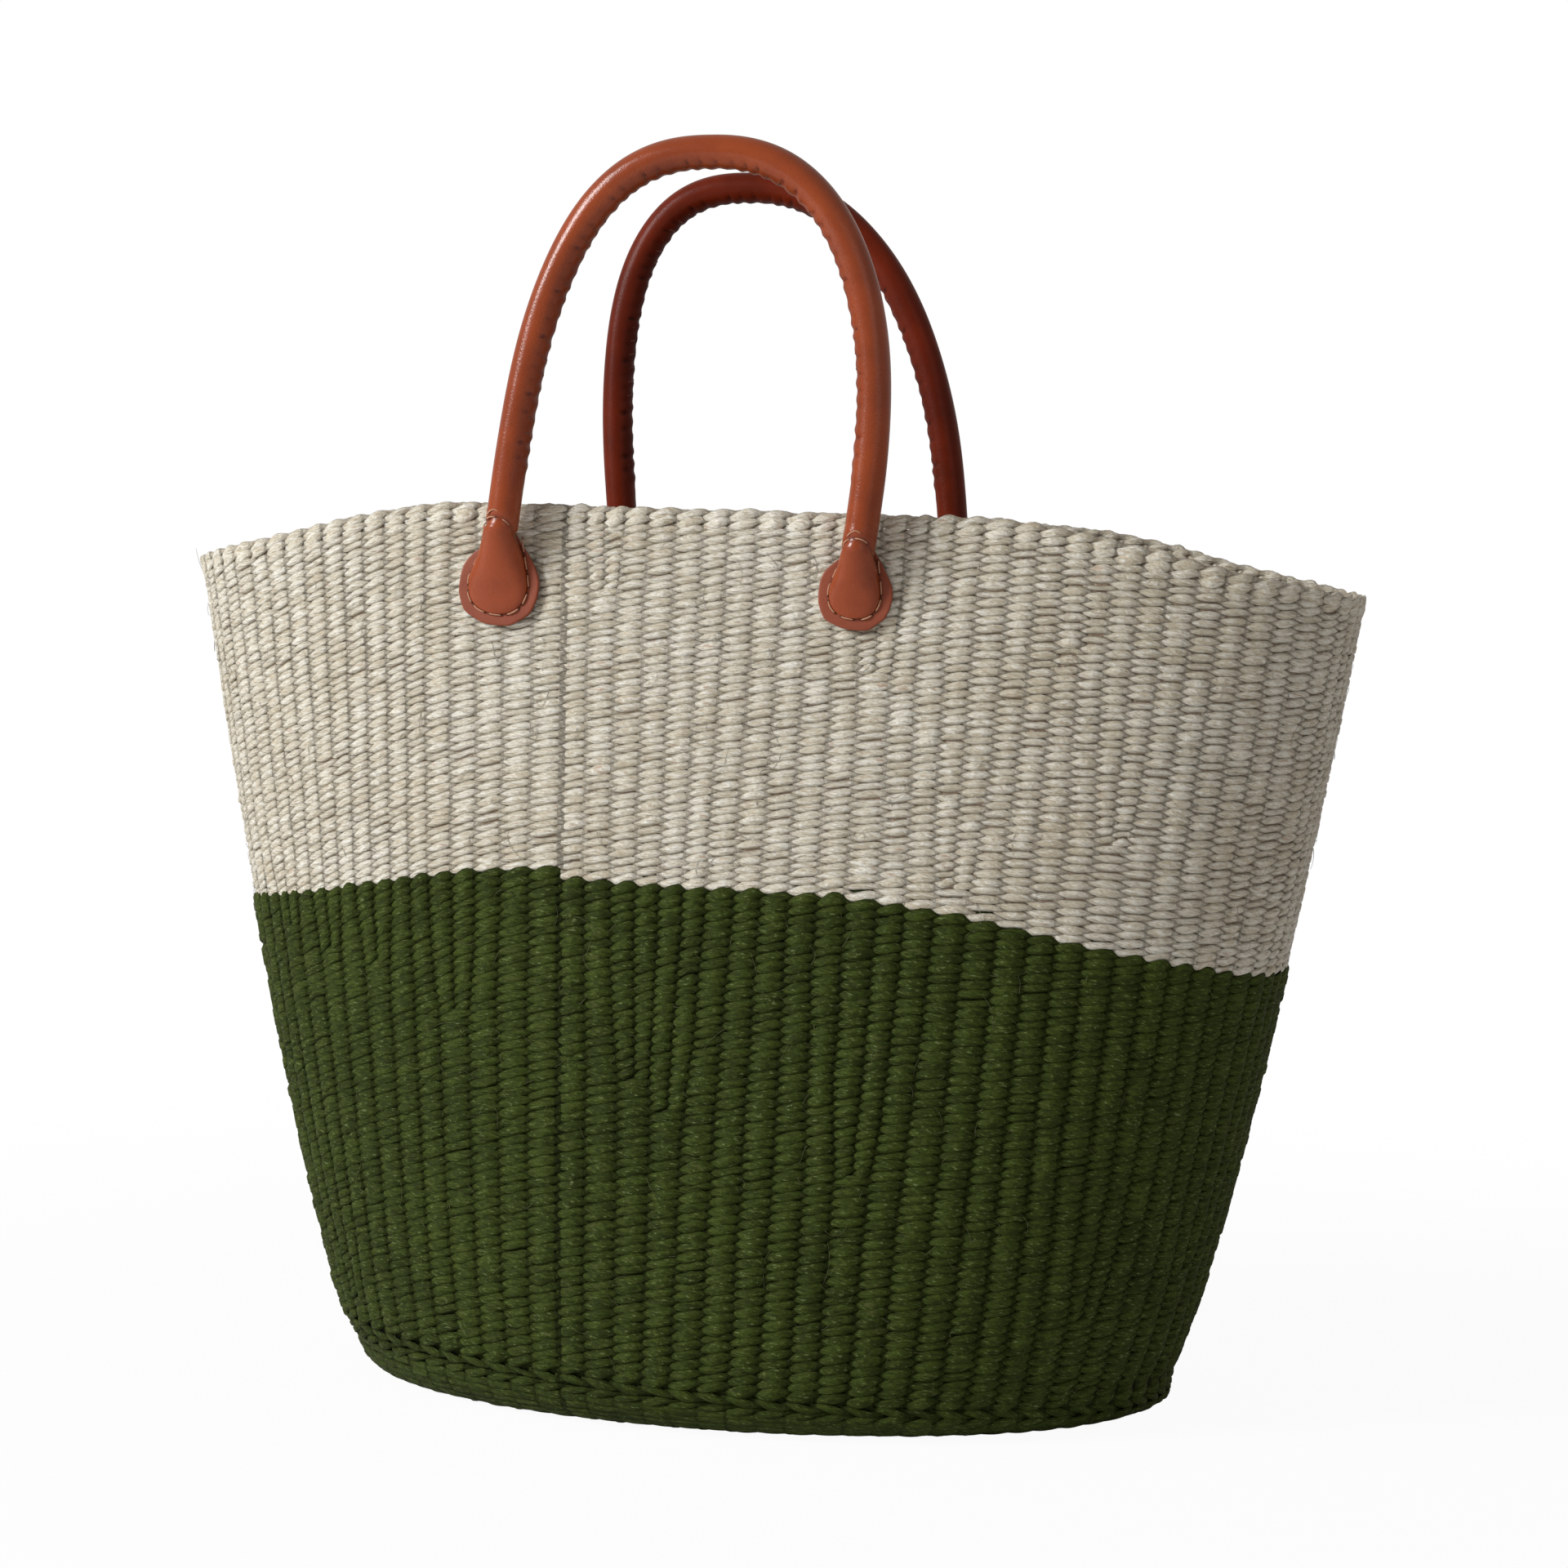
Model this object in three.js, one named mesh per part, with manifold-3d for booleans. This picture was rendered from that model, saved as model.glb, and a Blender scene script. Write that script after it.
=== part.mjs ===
// Twined sisal tote bag: an oval basket, natural above and olive below, with a braided rim
// and two rolled leather handles sewn to the outside just under the rim.
// Millimetres, +Z up, +X to the right, the front towards -Y.
// The origin is the middle of the base, on the surface that the bag stands on.
import * as THREE from "three";
import { mergeVertices } from "three/addons/utils/BufferGeometryUtils.js";
import Module from "manifold-3d";

const wasm = await Module();
wasm.setup();

// Play between two pieces that touch
const gap = 0.3;

// Basket: an ellipse at the base that opens into a wider, flatter and squarer mouth
const baseHalfWidth = 154.5;
const baseHalfDepth = 106;
const baseSquareness = 2.05;
const mouthHalfWidth = 222;
const mouthHalfDepth = 77;
const mouthSquareness = 2.8;
const flareCurve = 0.77; // 1 gives straight ends, and less swells them low down
const wallThickness = 4;
const baseEdgeRadius = 12; // how far the base turns in under the bag

// The weave's rows aren't level: each line drops towards the ends of the bag,
// from a share of the half width on, and it tilts by so much in each millimetre
const beadLine = { height: 15, sag: 0, sagStart: 0.2, tilt: 0.045 };
const colourLine = { height: 192, sag: 27, sagStart: 0.2, tilt: 0.04 };
const rimLine = { height: 320, sag: 21, sagStart: 0.4, tilt: 0.015 };

// Rows that stand out of the wall
const beadRowHeight = 4;
const beadRowBulge = 1.2;
const braidHeight = 6.4;
const braidWidth = 6.4;
const braidStitches = 112;
const braidScallop = 0.45; // how far each stitch swells out of the braid

// Handles: a superellipse arch of rolled leather over a cord, on each long side
const tubeRadius = 5.8;
const leatherThickness = 1.9;
const handleHeight = 119; // arch centreline above the hinge line
const archSquareness = 2.4;
const hingeOverRim = 3.5;
const inwardSwing = 35; // degrees that a handle can swing in over the mouth
const swingPlay = 1; // degrees of free room past that
const laceWidth = 2.8;
const laceThickness = 1.5;
const laceStart = 0.13; // share of the arch where the lacing begins, and ends on the far leg

// Where each handle stands: the middle of its roots, half the way between them, its height
// over the common one, and how far its top leans to the right. With a leanBow over 0 the legs
// lean most at their roots, and with one under 0 near the top.
const handles = [
  { name: "front", side: -1, middle: -9.5, halfSpan: 64.7, extraHeight: 0, lean: 7.6, leanBow: 1 },
  { name: "rear", side: 1, middle: -17.5, halfSpan: 66.5, extraHeight: 5.5, lean: -17, leanBow: -0.35 },
];

// Sewn feet: a patch against the wall, and the moulded end of the handle on it.
// The hand-cut patches differ a little. A foot's lower edge and stitch line are heights over
// the ground, and the stitch line is where its thread crosses over the handle.
const patchThickness = 1.4;
const footSquareness = 2.4;
const patchMargin = 3.9; // patch that shows round the moulded end
const feet = [
  { name: "front_left", handle: "front", leg: -1, patchWidth: 30.3, lowerEdge: 278, stitchLine: 315.5 },
  { name: "front_right", handle: "front", leg: 1, patchWidth: 26, lowerEdge: 279, stitchLine: 310 },
  { name: "rear_left", handle: "rear", leg: -1, patchWidth: 28, lowerEdge: 278, stitchLine: 313 },
  { name: "rear_right", handle: "rear", leg: 1, patchWidth: 28, lowerEdge: 279, stitchLine: 312 },
];
const stitchPinch = 0.5; // how much the crossing stitches draw the handle in
const pinchLength = 4;
const mouldedEdge = 1.2; // height of the moulded end at its lower edge
const mouldedFall = 1.4; // over 1, the moulded end falls away quickly below the handle
const threadRadius = 0.45;
const chordPlay = 0.25; // room for the thread's straight steps on its way round a foot

// Smoothness of the faceted surfaces
const wallFacets = 64;
const baseEdgeSteps = 3;
const tubeFacets = 12;
const boreFacets = 8;
const coreFacets = 6;
const archSteps = 36;
const footFacets = 16;
const threadSteps = 34;

const materials = {
  natural: new THREE.MeshStandardMaterial({ color: 0xd8cfb9, roughness: 0.85, metalness: 0 }),
  olive: new THREE.MeshStandardMaterial({ color: 0x5f6237, roughness: 0.85, metalness: 0 }),
  leather: new THREE.MeshStandardMaterial({ color: 0x9c4f2c, roughness: 0.45, metalness: 0 }),
  patch: new THREE.MeshStandardMaterial({ color: 0xa85a45, roughness: 0.55, metalness: 0 }),
  thread: new THREE.MeshStandardMaterial({ color: 0xcf9a78, roughness: 0.7, metalness: 0 }),
  cord: new THREE.MeshStandardMaterial({ color: 0xcbbf9f, roughness: 0.9, metalness: 0 }),
};

const bag = new THREE.Group();

function add(name, geometry, material) {
  const mesh = new THREE.Mesh(geometry, material);
  mesh.name = name;
  bag.add(mesh);
}

const up = new THREE.Vector3(0, 0, 1);

// Points of an ellipse, evenly turned, from its +X end
function polygon(corners, halfWidth, halfHeight = halfWidth) {
  return Array.from({ length: corners }, (_, k) => {
    const turn = (2 * Math.PI * k) / corners;
    return new THREE.Vector2(halfWidth * Math.cos(turn), halfHeight * Math.sin(turn));
  });
}

// Loft through rings of points, each joined to the next. The loft either runs back into its
// first ring, or has both ends closed by a fan. Its faces are turned to point outwards.
function loft(rings, endsClosed) {
  const count = rings[0].length;
  const points = rings.flat();
  const faces = [];
  const bands = endsClosed ? rings.length - 1 : rings.length;
  for (let band = 0; band < bands; band++) {
    const here = band * count;
    const next = ((band + 1) % rings.length) * count;
    for (let k = 0; k < count; k++) {
      const l = (k + 1) % count;
      faces.push([here + k, here + l, next + l], [here + k, next + l, next + k]);
    }
  }
  if (endsClosed) {
    const lastRing = (rings.length - 1) * count;
    const middleOf = (ring) =>
      ring.reduce((sum, p) => sum.add(p), new THREE.Vector3()).divideScalar(count);
    points.push(middleOf(rings[0]), middleOf(rings.at(-1)));
    for (let k = 0; k < count; k++) {
      const l = (k + 1) % count;
      faces.push([points.length - 2, l, k]);
      faces.push([points.length - 1, lastRing + k, lastRing + l]);
    }
  }
  const volume = faces.reduce(
    (sum, [a, b, c]) => sum + points[a].dot(points[b].clone().cross(points[c])),
    0,
  );
  if (volume < 0) faces.forEach((face) => face.reverse());
  return new THREE.BufferGeometry().setFromPoints(points).setIndex(faces.flat());
}

function solidOf(geometry) {
  geometry.deleteAttribute("normal");
  geometry.deleteAttribute("uv");
  const merged = mergeVertices(geometry, 1e-3);
  return new wasm.Manifold(
    new wasm.Mesh({
      numProp: 3,
      vertProperties: merged.attributes.position.array,
      triVerts: new Uint32Array(merged.index.array),
    }),
  );
}

function geometryOf(solid) {
  const mesh = solid.getMesh();
  return new THREE.BufferGeometry()
    .setAttribute("position", new THREE.BufferAttribute(mesh.vertProperties, 3))
    .setIndex(new THREE.BufferAttribute(mesh.triVerts, 1));
}

// Basket wall

class Oval extends THREE.Curve {
  constructor(halfWidth, halfDepth, squareness) {
    super();
    Object.assign(this, { halfWidth, halfDepth, power: 2 / squareness });
  }

  getPoint(t, target = new THREE.Vector3()) {
    const across = Math.cos(2 * Math.PI * t);
    const along = Math.sin(2 * Math.PI * t);
    return target.set(
      this.halfWidth * Math.sign(across) * Math.abs(across) ** this.power,
      this.halfDepth * Math.sign(along) * Math.abs(along) ** this.power,
      0,
    );
  }
}

// Height of a row of the weave over a place on the X axis
function heightOf(line, x) {
  const outwards = THREE.MathUtils.smoothstep(Math.abs(x) / mouthHalfWidth, line.sagStart, 1);
  return line.height - line.sag * outwards - line.tilt * x;
}

// The bag's outline at a height, drawn in from its outer face
function outlineAt(z, inset) {
  const level = THREE.MathUtils.clamp(
    (z - beadLine.height) / (rimLine.height - beadLine.height),
    0,
    1,
  );
  return new Oval(
    THREE.MathUtils.lerp(baseHalfWidth, mouthHalfWidth, level ** flareCurve) - inset,
    THREE.MathUtils.lerp(baseHalfDepth, mouthHalfDepth, level) - inset,
    THREE.MathUtils.lerp(baseSquareness, mouthSquareness, level),
  );
}

// A point of the wall: round is its share of the way round the bag from +X,
// and heightAt gives its height from its place on the X axis
function wallPoint(round, heightAt, inset) {
  const nearby = outlineAt(heightAt(0), inset).getPointAt(round);
  const z = heightAt(nearby.x);
  return outlineAt(z, inset).getPointAt(round).setZ(z);
}

function wallRing(facets, heightAt, inset) {
  return Array.from({ length: facets }, (_, k) => wallPoint(k / facets, heightAt, inset));
}

// A band of wall from one line of the weave up to another
function wallBand(lowerEdge, upperEdge, steps) {
  const rings = [];
  for (const inset of [0, wallThickness]) {
    for (let step = 0; step <= steps; step++) {
      const share = inset ? 1 - step / steps : step / steps;
      const heightAt = (x) => THREE.MathUtils.lerp(lowerEdge(x), upperEdge(x), share);
      rings.push(wallRing(wallFacets, heightAt, inset));
    }
  }
  return loft(rings, false);
}

const baseTop = (x) => heightOf(beadLine, x) - beadRowHeight / 2 - gap;
const wallFoot = (x) => heightOf(beadLine, x) + beadRowHeight / 2 + gap;
const colourEdge = (x) => heightOf(colourLine, x);
const wallTop = (x) => heightOf(rimLine, x) - braidHeight - gap;

// Base: a shallow dish, flat underneath, whose edge rounds up to the bead row
function baseDish() {
  const rings = [];
  for (const inset of [0, wallThickness]) {
    for (let step = 0; step <= baseEdgeSteps; step++) {
      const share = inset ? 1 - step / baseEdgeSteps : step / baseEdgeSteps;
      const turn = (share * Math.PI) / 2;
      const floor = inset;
      const heightAt = (x) => THREE.MathUtils.lerp(floor, baseTop(x), 1 - Math.cos(turn));
      rings.push(wallRing(wallFacets, heightAt, inset + baseEdgeRadius * (1 - Math.sin(turn))));
    }
  }
  return loft(rings, true);
}

// A row of an oval section that runs round the bag at a height. Its middle lies inset from the
// wall's outer face, and its section swells by swellAt at each step of the way.
function row({ steps, sides, heightAt, inset, halfWidth, halfHeight, swellAt }) {
  const middles = wallRing(steps, heightAt, inset);
  const rings = middles.map((middle, k) => {
    const before = middles[(k + steps - 1) % steps];
    const after = middles[(k + 1) % steps];
    const outwards = after.clone().sub(before).cross(up).normalize();
    return polygon(sides, 1).map((p) =>
      middle
        .clone()
        .addScaledVector(outwards, (halfWidth + swellAt(k)) * p.x)
        .addScaledVector(up, (halfHeight + swellAt(k)) * p.y),
    );
  });
  return loft(rings, false);
}

add("woven_base", baseDish(), materials.olive);
add(
  "base_bead_row",
  row({
    steps: wallFacets,
    sides: 6,
    heightAt: (x) => heightOf(beadLine, x),
    inset: (wallThickness - beadRowBulge) / 2,
    halfWidth: (wallThickness + beadRowBulge) / 2,
    halfHeight: beadRowHeight / 2,
    swellAt: () => 0,
  }),
  materials.olive,
);
add("lower_wall_olive", wallBand(wallFoot, (x) => colourEdge(x) - gap / 2, 4), materials.olive);
add("upper_wall_natural", wallBand((x) => colourEdge(x) + gap / 2, wallTop, 3), materials.natural);
add(
  "rim_braid",
  row({
    steps: 2 * braidStitches,
    sides: 5,
    heightAt: (x) => heightOf(rimLine, x) - braidHeight / 2,
    inset: wallThickness / 2,
    halfWidth: braidWidth / 2 - braidScallop,
    halfHeight: braidHeight / 2 - braidScallop,
    swellAt: (k) => (k % 2) * braidScallop,
  }),
  materials.natural,
);

// Handles

const handleOut = mouthHalfDepth + patchThickness + 2 * gap + tubeRadius;
const hingeHeight = rimLine.height + hingeOverRim;

// The middle of a handle's tube, from its left foot over to its right one
class Arch extends THREE.Curve {
  constructor(handle) {
    super();
    Object.assign(this, handle);
  }

  getPoint(t, target = new THREE.Vector3()) {
    const turn = Math.PI * (1 - t);
    const power = 2 / archSquareness;
    const across = Math.sign(Math.cos(turn)) * Math.abs(Math.cos(turn)) ** power;
    const rise = Math.abs(Math.sin(turn)) ** power;
    const leaning = this.lean * rise * (1 + this.leanBow * (1 - rise));
    return target.set(
      this.middle + this.halfSpan * across + leaning,
      this.side * handleOut,
      hingeHeight + (handleHeight + this.extraHeight) * rise,
    );
  }
}

// A line along the inner side of an arch, less a share of the arch at each end
class InnerSide extends THREE.Curve {
  constructor(arch, inset, start) {
    super();
    Object.assign(this, { arch, inset, start });
  }

  getPoint(t, target = new THREE.Vector3()) {
    const along = THREE.MathUtils.lerp(this.start, 1 - this.start, t);
    const inwards = new THREE.Vector3(0, 1, 0).cross(this.arch.getTangent(along));
    return this.arch.getPoint(along, target).addScaledVector(inwards, this.inset);
  }
}

function sweep(section, path) {
  return new THREE.ExtrudeGeometry(section, {
    steps: archSteps,
    extrudePath: path,
    bevelEnabled: false,
  });
}

// The room that a handle's lower ends leave free, so that it can swing in over the mouth.
// The hinge line touches the outer side of the tube, so that it can also hang down outside.
function hingeRoom(side) {
  const past = 2;
  const inner = 2 * tubeRadius + past;
  const slope = Math.tan(THREE.MathUtils.degToRad(inwardSwing + swingPlay));
  const profile = new THREE.Shape([
    new THREE.Vector2(-past, -past),
    new THREE.Vector2(inner, -past),
    new THREE.Vector2(inner, inner * slope),
    new THREE.Vector2(0, 0),
    new THREE.Vector2(-past, 0),
  ]);
  const length = 2 * mouthHalfWidth;
  const inwards = new THREE.Vector3(0, -side, 0);
  const along = inwards.clone().cross(up);
  const place = new THREE.Matrix4()
    .makeBasis(inwards, up, along)
    .setPosition(new THREE.Vector3(0, side * (handleOut + tubeRadius), hingeHeight));
  return solidOf(
    new THREE.ExtrudeGeometry(profile, { depth: length, bevelEnabled: false })
      .translate(0, 0, -length / 2)
      .applyMatrix4(place),
  );
}

const boreRadius = tubeRadius - leatherThickness;
const coreRadius = boreRadius * Math.cos(Math.PI / boreFacets) - gap;

for (const handle of handles) {
  const arch = new Arch(handle);
  const room = hingeRoom(handle.side);
  const trimmed = (geometry) => geometryOf(solidOf(geometry).subtract(room));

  const tube = new THREE.Shape(polygon(tubeFacets, tubeRadius));
  tube.holes.push(new THREE.Path(polygon(boreFacets, boreRadius)));
  add(
    `${handle.name}_handle_cover`,
    trimmed(sweep(tube, arch)),
    materials.leather,
  );

  const core = new THREE.Shape(polygon(coreFacets, coreRadius));
  add(
    `${handle.name}_handle_core`,
    trimmed(sweep(core, arch)),
    materials.cord,
  );

  const lace = new THREE.Shape(polygon(5, laceWidth / 2, laceThickness / 2));
  const laceInset = tubeRadius + gap + laceThickness / 2;
  add(
    `${handle.name}_handle_lacing`,
    sweep(lace, new InnerSide(arch, laceInset, laceStart)),
    materials.thread,
  );
}

// Feet

// The wall's outer face over a place on the X axis, at the front or the rear
function wallFace(x, z, side) {
  const { halfWidth, halfDepth, power } = outlineAt(z, 0);
  const outwards = (1 - Math.abs(x / halfWidth) ** (2 / power)) ** (power / 2);
  return new THREE.Vector3(x, side * halfDepth * outwards, z);
}

// A group that lies against the wall: X across the foot, Y up the wall along the line of the
// leg, which xAt gives at each height, and Z out of the wall. Its origin is on the wall, level
// with the lower edge of the patch.
function footGroup(xAt, side, lowerEdge, reach) {
  const faceAt = (z) => wallFace(xAt(z), z, side);
  const middle = faceAt(lowerEdge + reach / 2);
  const upwards = faceAt(lowerEdge + reach).sub(faceAt(lowerEdge)).normalize();
  const sideways = wallFace(middle.x + reach / 2, middle.z, side)
    .sub(wallFace(middle.x - reach / 2, middle.z, side))
    .multiplyScalar(-side);
  const outwards = sideways.cross(upwards).normalize();
  const across = upwards.clone().cross(outwards);
  const group = new THREE.Group();
  new THREE.Matrix4()
    .makeBasis(across, upwards, outwards)
    .setPosition(middle.addScaledVector(upwards, -reach / 2))
    .decompose(group.position, group.quaternion, group.scale);
  group.updateMatrixWorld(true);
  return group;
}

// Half the width of a rounded outline of this half width, so far below its middle
function roundedHalf(halfWidth, below) {
  const share = Math.min(Math.abs(below) / halfWidth, 1);
  return halfWidth * (1 - share ** footSquareness) ** (1 / footSquareness);
}

// Patch: round below, drawn in to a neck behind the handle
function patch(halfWidth, height) {
  const neck = tubeRadius - gap;
  const neckTurn = Math.acos((neck / halfWidth) ** (footSquareness / 2));
  const steps = 22;
  const outline = [new THREE.Vector2(-neck, height), new THREE.Vector2(neck, height)];
  for (let step = 0; step <= steps; step++) {
    const turn = THREE.MathUtils.lerp(neckTurn, -Math.PI - neckTurn, step / steps);
    const power = 2 / footSquareness;
    outline.push(
      new THREE.Vector2(
        halfWidth * Math.sign(Math.cos(turn)) * Math.abs(Math.cos(turn)) ** power,
        halfWidth * (1 + Math.sign(Math.sin(turn)) * Math.abs(Math.sin(turn)) ** power),
      ),
    );
  }
  return new THREE.ExtrudeGeometry(new THREE.Shape(outline), {
    depth: patchThickness,
    bevelEnabled: false,
  }).translate(0, 0, gap);
}

for (const foot of feet) {
  const { name, leg, patchWidth, lowerEdge, stitchLine } = foot;
  const handle = handles.find((h) => h.name === foot.handle);
  const x = handle.middle + leg * handle.halfSpan;
  const patchHeight = wallTop(x) - gap - lowerEdge;

  // The foot goes on below the hinge in line with the root of its leg
  const rootLean = (handle.lean * (1 + handle.leanBow)) / (handleHeight + handle.extraHeight);
  const xAt = (z) => x + rootLean * (z - hingeHeight);
  const group = footGroup(xAt, handle.side, lowerEdge, patchHeight);
  bag.add(group);

  const seat = patchThickness + 2 * gap;

  // The handle's axis in the group, at a height over the ground, kept clear of the patch
  const axisAt = (z) => {
    const axis = group.worldToLocal(new THREE.Vector3(xAt(z), handle.side * handleOut, z));
    return axis.setZ(Math.max(axis.z, seat + tubeRadius));
  };

  const halfWidth = patchWidth / 2 - patchMargin;
  const lowest = patchMargin;
  const widest = lowest + halfWidth;
  const pinched = axisAt(stitchLine);
  const shoulder = axisAt(stitchLine - pinchLength);
  const highest = shoulder.y;
  const handleFront = shoulder.z + tubeRadius;
  const handleBack = shoulder.z - tubeRadius;
  const halfWidthAt = (y) =>
    y < widest
      ? roundedHalf(halfWidth, widest - y)
      : THREE.MathUtils.lerp(
          halfWidth,
          tubeRadius,
          THREE.MathUtils.smoothstep(y, widest, highest),
        );

  // Moulded end: round like the handle at the top, flat against the patch below
  const section = polygon(footFacets, 1);
  const circleAt = (centre, radius) =>
    section.map((p) => new THREE.Vector3(radius * p.x, 0, radius * p.y).add(centre));
  const topRing = section.map((p) =>
    group.worldToLocal(
      new THREE.Vector3(
        x - handle.side * tubeRadius * p.x,
        handle.side * (handleOut + tubeRadius * p.y),
        hingeHeight - gap,
      ),
    ),
  );
  const rings = [
    topRing,
    circleAt(axisAt(stitchLine + pinchLength), tubeRadius),
    circleAt(pinched, tubeRadius - stitchPinch),
    circleAt(shoulder, tubeRadius),
  ];
  const levels = [0.25, 0.5, 0.75, 1].map((share) => THREE.MathUtils.lerp(highest, widest, share));
  const turns = [30, 55, 74, 88].map(THREE.MathUtils.degToRad);
  levels.push(...turns.map((turn) => THREE.MathUtils.lerp(widest, lowest, Math.sin(turn))));
  for (const y of levels) {
    const fall = (highest - y) / (highest - lowest);
    const flat = THREE.MathUtils.smoothstep(fall, 0, 0.4);
    const back = THREE.MathUtils.lerp(handleBack, seat, flat);
    const front =
      seat +
      THREE.MathUtils.lerp(mouldedEdge, handleFront - seat, (1 - fall) ** mouldedFall);
    const ring = section.map((p) => {
      const round = (front + back) / 2 + ((front - back) / 2) * p.y;
      const domed = seat + (front - seat) * Math.max(p.y, 0);
      const out = THREE.MathUtils.lerp(round, domed, flat);
      return new THREE.Vector3(halfWidthAt(y) * p.x, y, out);
    });
    rings.push(ring);
  }
  const end = new THREE.Mesh(loft(rings, true), materials.leather);
  end.name = `${name}_moulded_end`;
  group.add(end);

  const backing = new THREE.Mesh(patch(patchWidth / 2, patchHeight), materials.patch);
  backing.name = `${name}_patch`;
  group.add(backing);

  // Thread: round the moulded end on the patch, and over the handle at the stitch line
  const clear = threadRadius + gap + chordPlay;
  const run = [];
  for (const side of [1, -1]) {
    const flank = [0.25, 0.5, 0.75, 1].map((share) => THREE.MathUtils.lerp(highest, widest, share));
    flank.push(...[0.4, 0.75].map((share) => THREE.MathUtils.lerp(widest, lowest, share)));
    const points = flank.map(
      (y) => new THREE.Vector3(side * (halfWidthAt(y) + clear), y, seat + threadRadius),
    );
    if (side > 0) run.push(...points, new THREE.Vector3(0, lowest - clear, seat + threadRadius));
    else run.push(...points.reverse());
  }
  for (const turn of [180, 135, 90, 45, 0].map(THREE.MathUtils.degToRad)) {
    run.push(
      new THREE.Vector3(
        (tubeRadius + clear) * Math.cos(turn),
        pinched.y,
        pinched.z + (tubeRadius + clear) * Math.sin(turn),
      ),
    );
  }
  const path = new THREE.CatmullRomCurve3(run, true);
  const frames = path.computeFrenetFrames(threadSteps, true);
  const threadRings = Array.from({ length: threadSteps }, (_, k) =>
    polygon(5, threadRadius).map((p) =>
      path
        .getPointAt(k / threadSteps)
        .addScaledVector(frames.normals[k], p.x)
        .addScaledVector(frames.binormals[k], p.y),
    ),
  );
  const thread = new THREE.Mesh(loft(threadRings, false), materials.thread);
  thread.name = `${name}_thread`;
  group.add(thread);
}

export default bag;
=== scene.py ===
# %% [markdown]
# # A twined sisal tote bag with rolled leather handles
#
# The real bag is a basket. Stiff warps of plant fibre run up its wall, and in every row two
# soft yarns twist round each other and catch one warp at each half turn. That is twining, and
# it gives the slim slanted stitches that stand in upright ribs. The lower part is dyed olive,
# the upper part is left natural, and a plaited rope finishes the rim. Two handles of rolled
# leather are sewn to the outside.
#
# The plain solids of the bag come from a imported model, the frame. This lesson dresses them:
# each yarn is real geometry, because the ribs, gaps and highlights of a weave that is seen
# from close by can't be painted on a smooth wall and look right from the side.

import math

import bmesh
import bpy
import numpy as np
from mathutils import Matrix, Vector


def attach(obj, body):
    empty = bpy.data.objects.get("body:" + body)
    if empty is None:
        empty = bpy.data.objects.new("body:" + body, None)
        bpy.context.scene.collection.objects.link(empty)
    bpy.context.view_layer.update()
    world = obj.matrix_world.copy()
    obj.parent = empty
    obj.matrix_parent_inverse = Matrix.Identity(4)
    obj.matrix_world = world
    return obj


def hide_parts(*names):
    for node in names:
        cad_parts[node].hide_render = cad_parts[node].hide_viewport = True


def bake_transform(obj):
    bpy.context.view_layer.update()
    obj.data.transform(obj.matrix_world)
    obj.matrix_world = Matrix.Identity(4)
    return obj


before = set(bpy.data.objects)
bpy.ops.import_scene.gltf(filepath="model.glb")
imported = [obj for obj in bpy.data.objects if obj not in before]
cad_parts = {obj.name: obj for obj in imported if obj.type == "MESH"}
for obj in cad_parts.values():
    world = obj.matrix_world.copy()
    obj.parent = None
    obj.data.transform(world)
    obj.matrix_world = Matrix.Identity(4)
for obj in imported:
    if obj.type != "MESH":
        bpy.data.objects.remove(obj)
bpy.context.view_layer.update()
mm = 0.001

# %% [markdown]
# ## The shape of the basket
#
# Every yarn follows one surface: an oval that grows wider, flatter and squarer from the base
# to the mouth. The surface is a function of the share of the way round the bag and of a
# height, so that a row of weave, a warp or a loose fibre can ask it for its place. Another way
# would be to project the yarns on a modelled wall, but a function gives exact, even steps.

# %% Sizes of the basket
base_half_width = 154.5 * mm
base_half_depth = 106 * mm
base_squareness = 2.05
mouth_half_width = 222 * mm
mouth_half_depth = 77 * mm
mouth_squareness = 2.8
flare_curve = 0.77
base_edge_radius = 12 * mm

bead_line = {"height": 15 * mm, "sag": 0.0, "sag_start": 0.2, "tilt": 0.045}
colour_line = {"height": 192 * mm, "sag": 25 * mm, "sag_start": 0.2, "tilt": 0.028}
rim_line = {"height": 320 * mm, "sag": 21 * mm, "sag_start": 0.4, "tilt": 0.015}

bead_height = 4 * mm
braid_height = 6.4 * mm
fabric_middle = 2.7 * mm
end_dip = 2 * mm
end_dip_start = 0.86  # share of the half width of the mouth
end_flare = 3 * mm
end_flare_levels = (0.9, 0.98)
mouth = [round(2 * half / mm) for half in (mouth_half_width, mouth_half_depth)]
print("width and depth of the mouth in mm:", mouth)


# %% Small helpers
def smoothstep(value, low, high):
    share = np.clip((value - low) / (high - low), 0.0, 1.0)
    return share * share * (3.0 - 2.0 * share)


def lerp(start, end, share):
    return start + (end - start) * share


def unit(vectors):
    return vectors / np.linalg.norm(vectors, axis=-1, keepdims=True)


def length_along(points):
    """How far along a line each of its points is."""
    steps = np.linalg.norm(np.diff(points, axis=0), axis=1)
    return np.concatenate([[0.0], np.cumsum(steps)])


def points_on(line, length, places):
    """Points of a line, or values along it, at these distances from its start."""
    return np.stack([np.interp(places, length, line[:, k]) for k in range(3)], axis=-1)


# %% Lines of the weave and outlines of the bag
def height_of(line, x):
    """Height of a line of the weave over a place on the X axis."""
    outwards = smoothstep(np.abs(x) / mouth_half_width, line["sag_start"], 1.0)
    return line["height"] - line["sag"] * outwards - line["tilt"] * x


def rim_height(x):
    """The rim itself, which dips a little more where it turns round the ends of the bag."""
    outwards = smoothstep(np.abs(x) / mouth_half_width, end_dip_start, 1.0)
    return height_of(rim_line, x) - end_dip * outwards


def level_at(z):
    span = rim_line["height"] - bead_line["height"]
    return np.clip((z - bead_line["height"]) / span, 0.0, 1.0)


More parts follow.
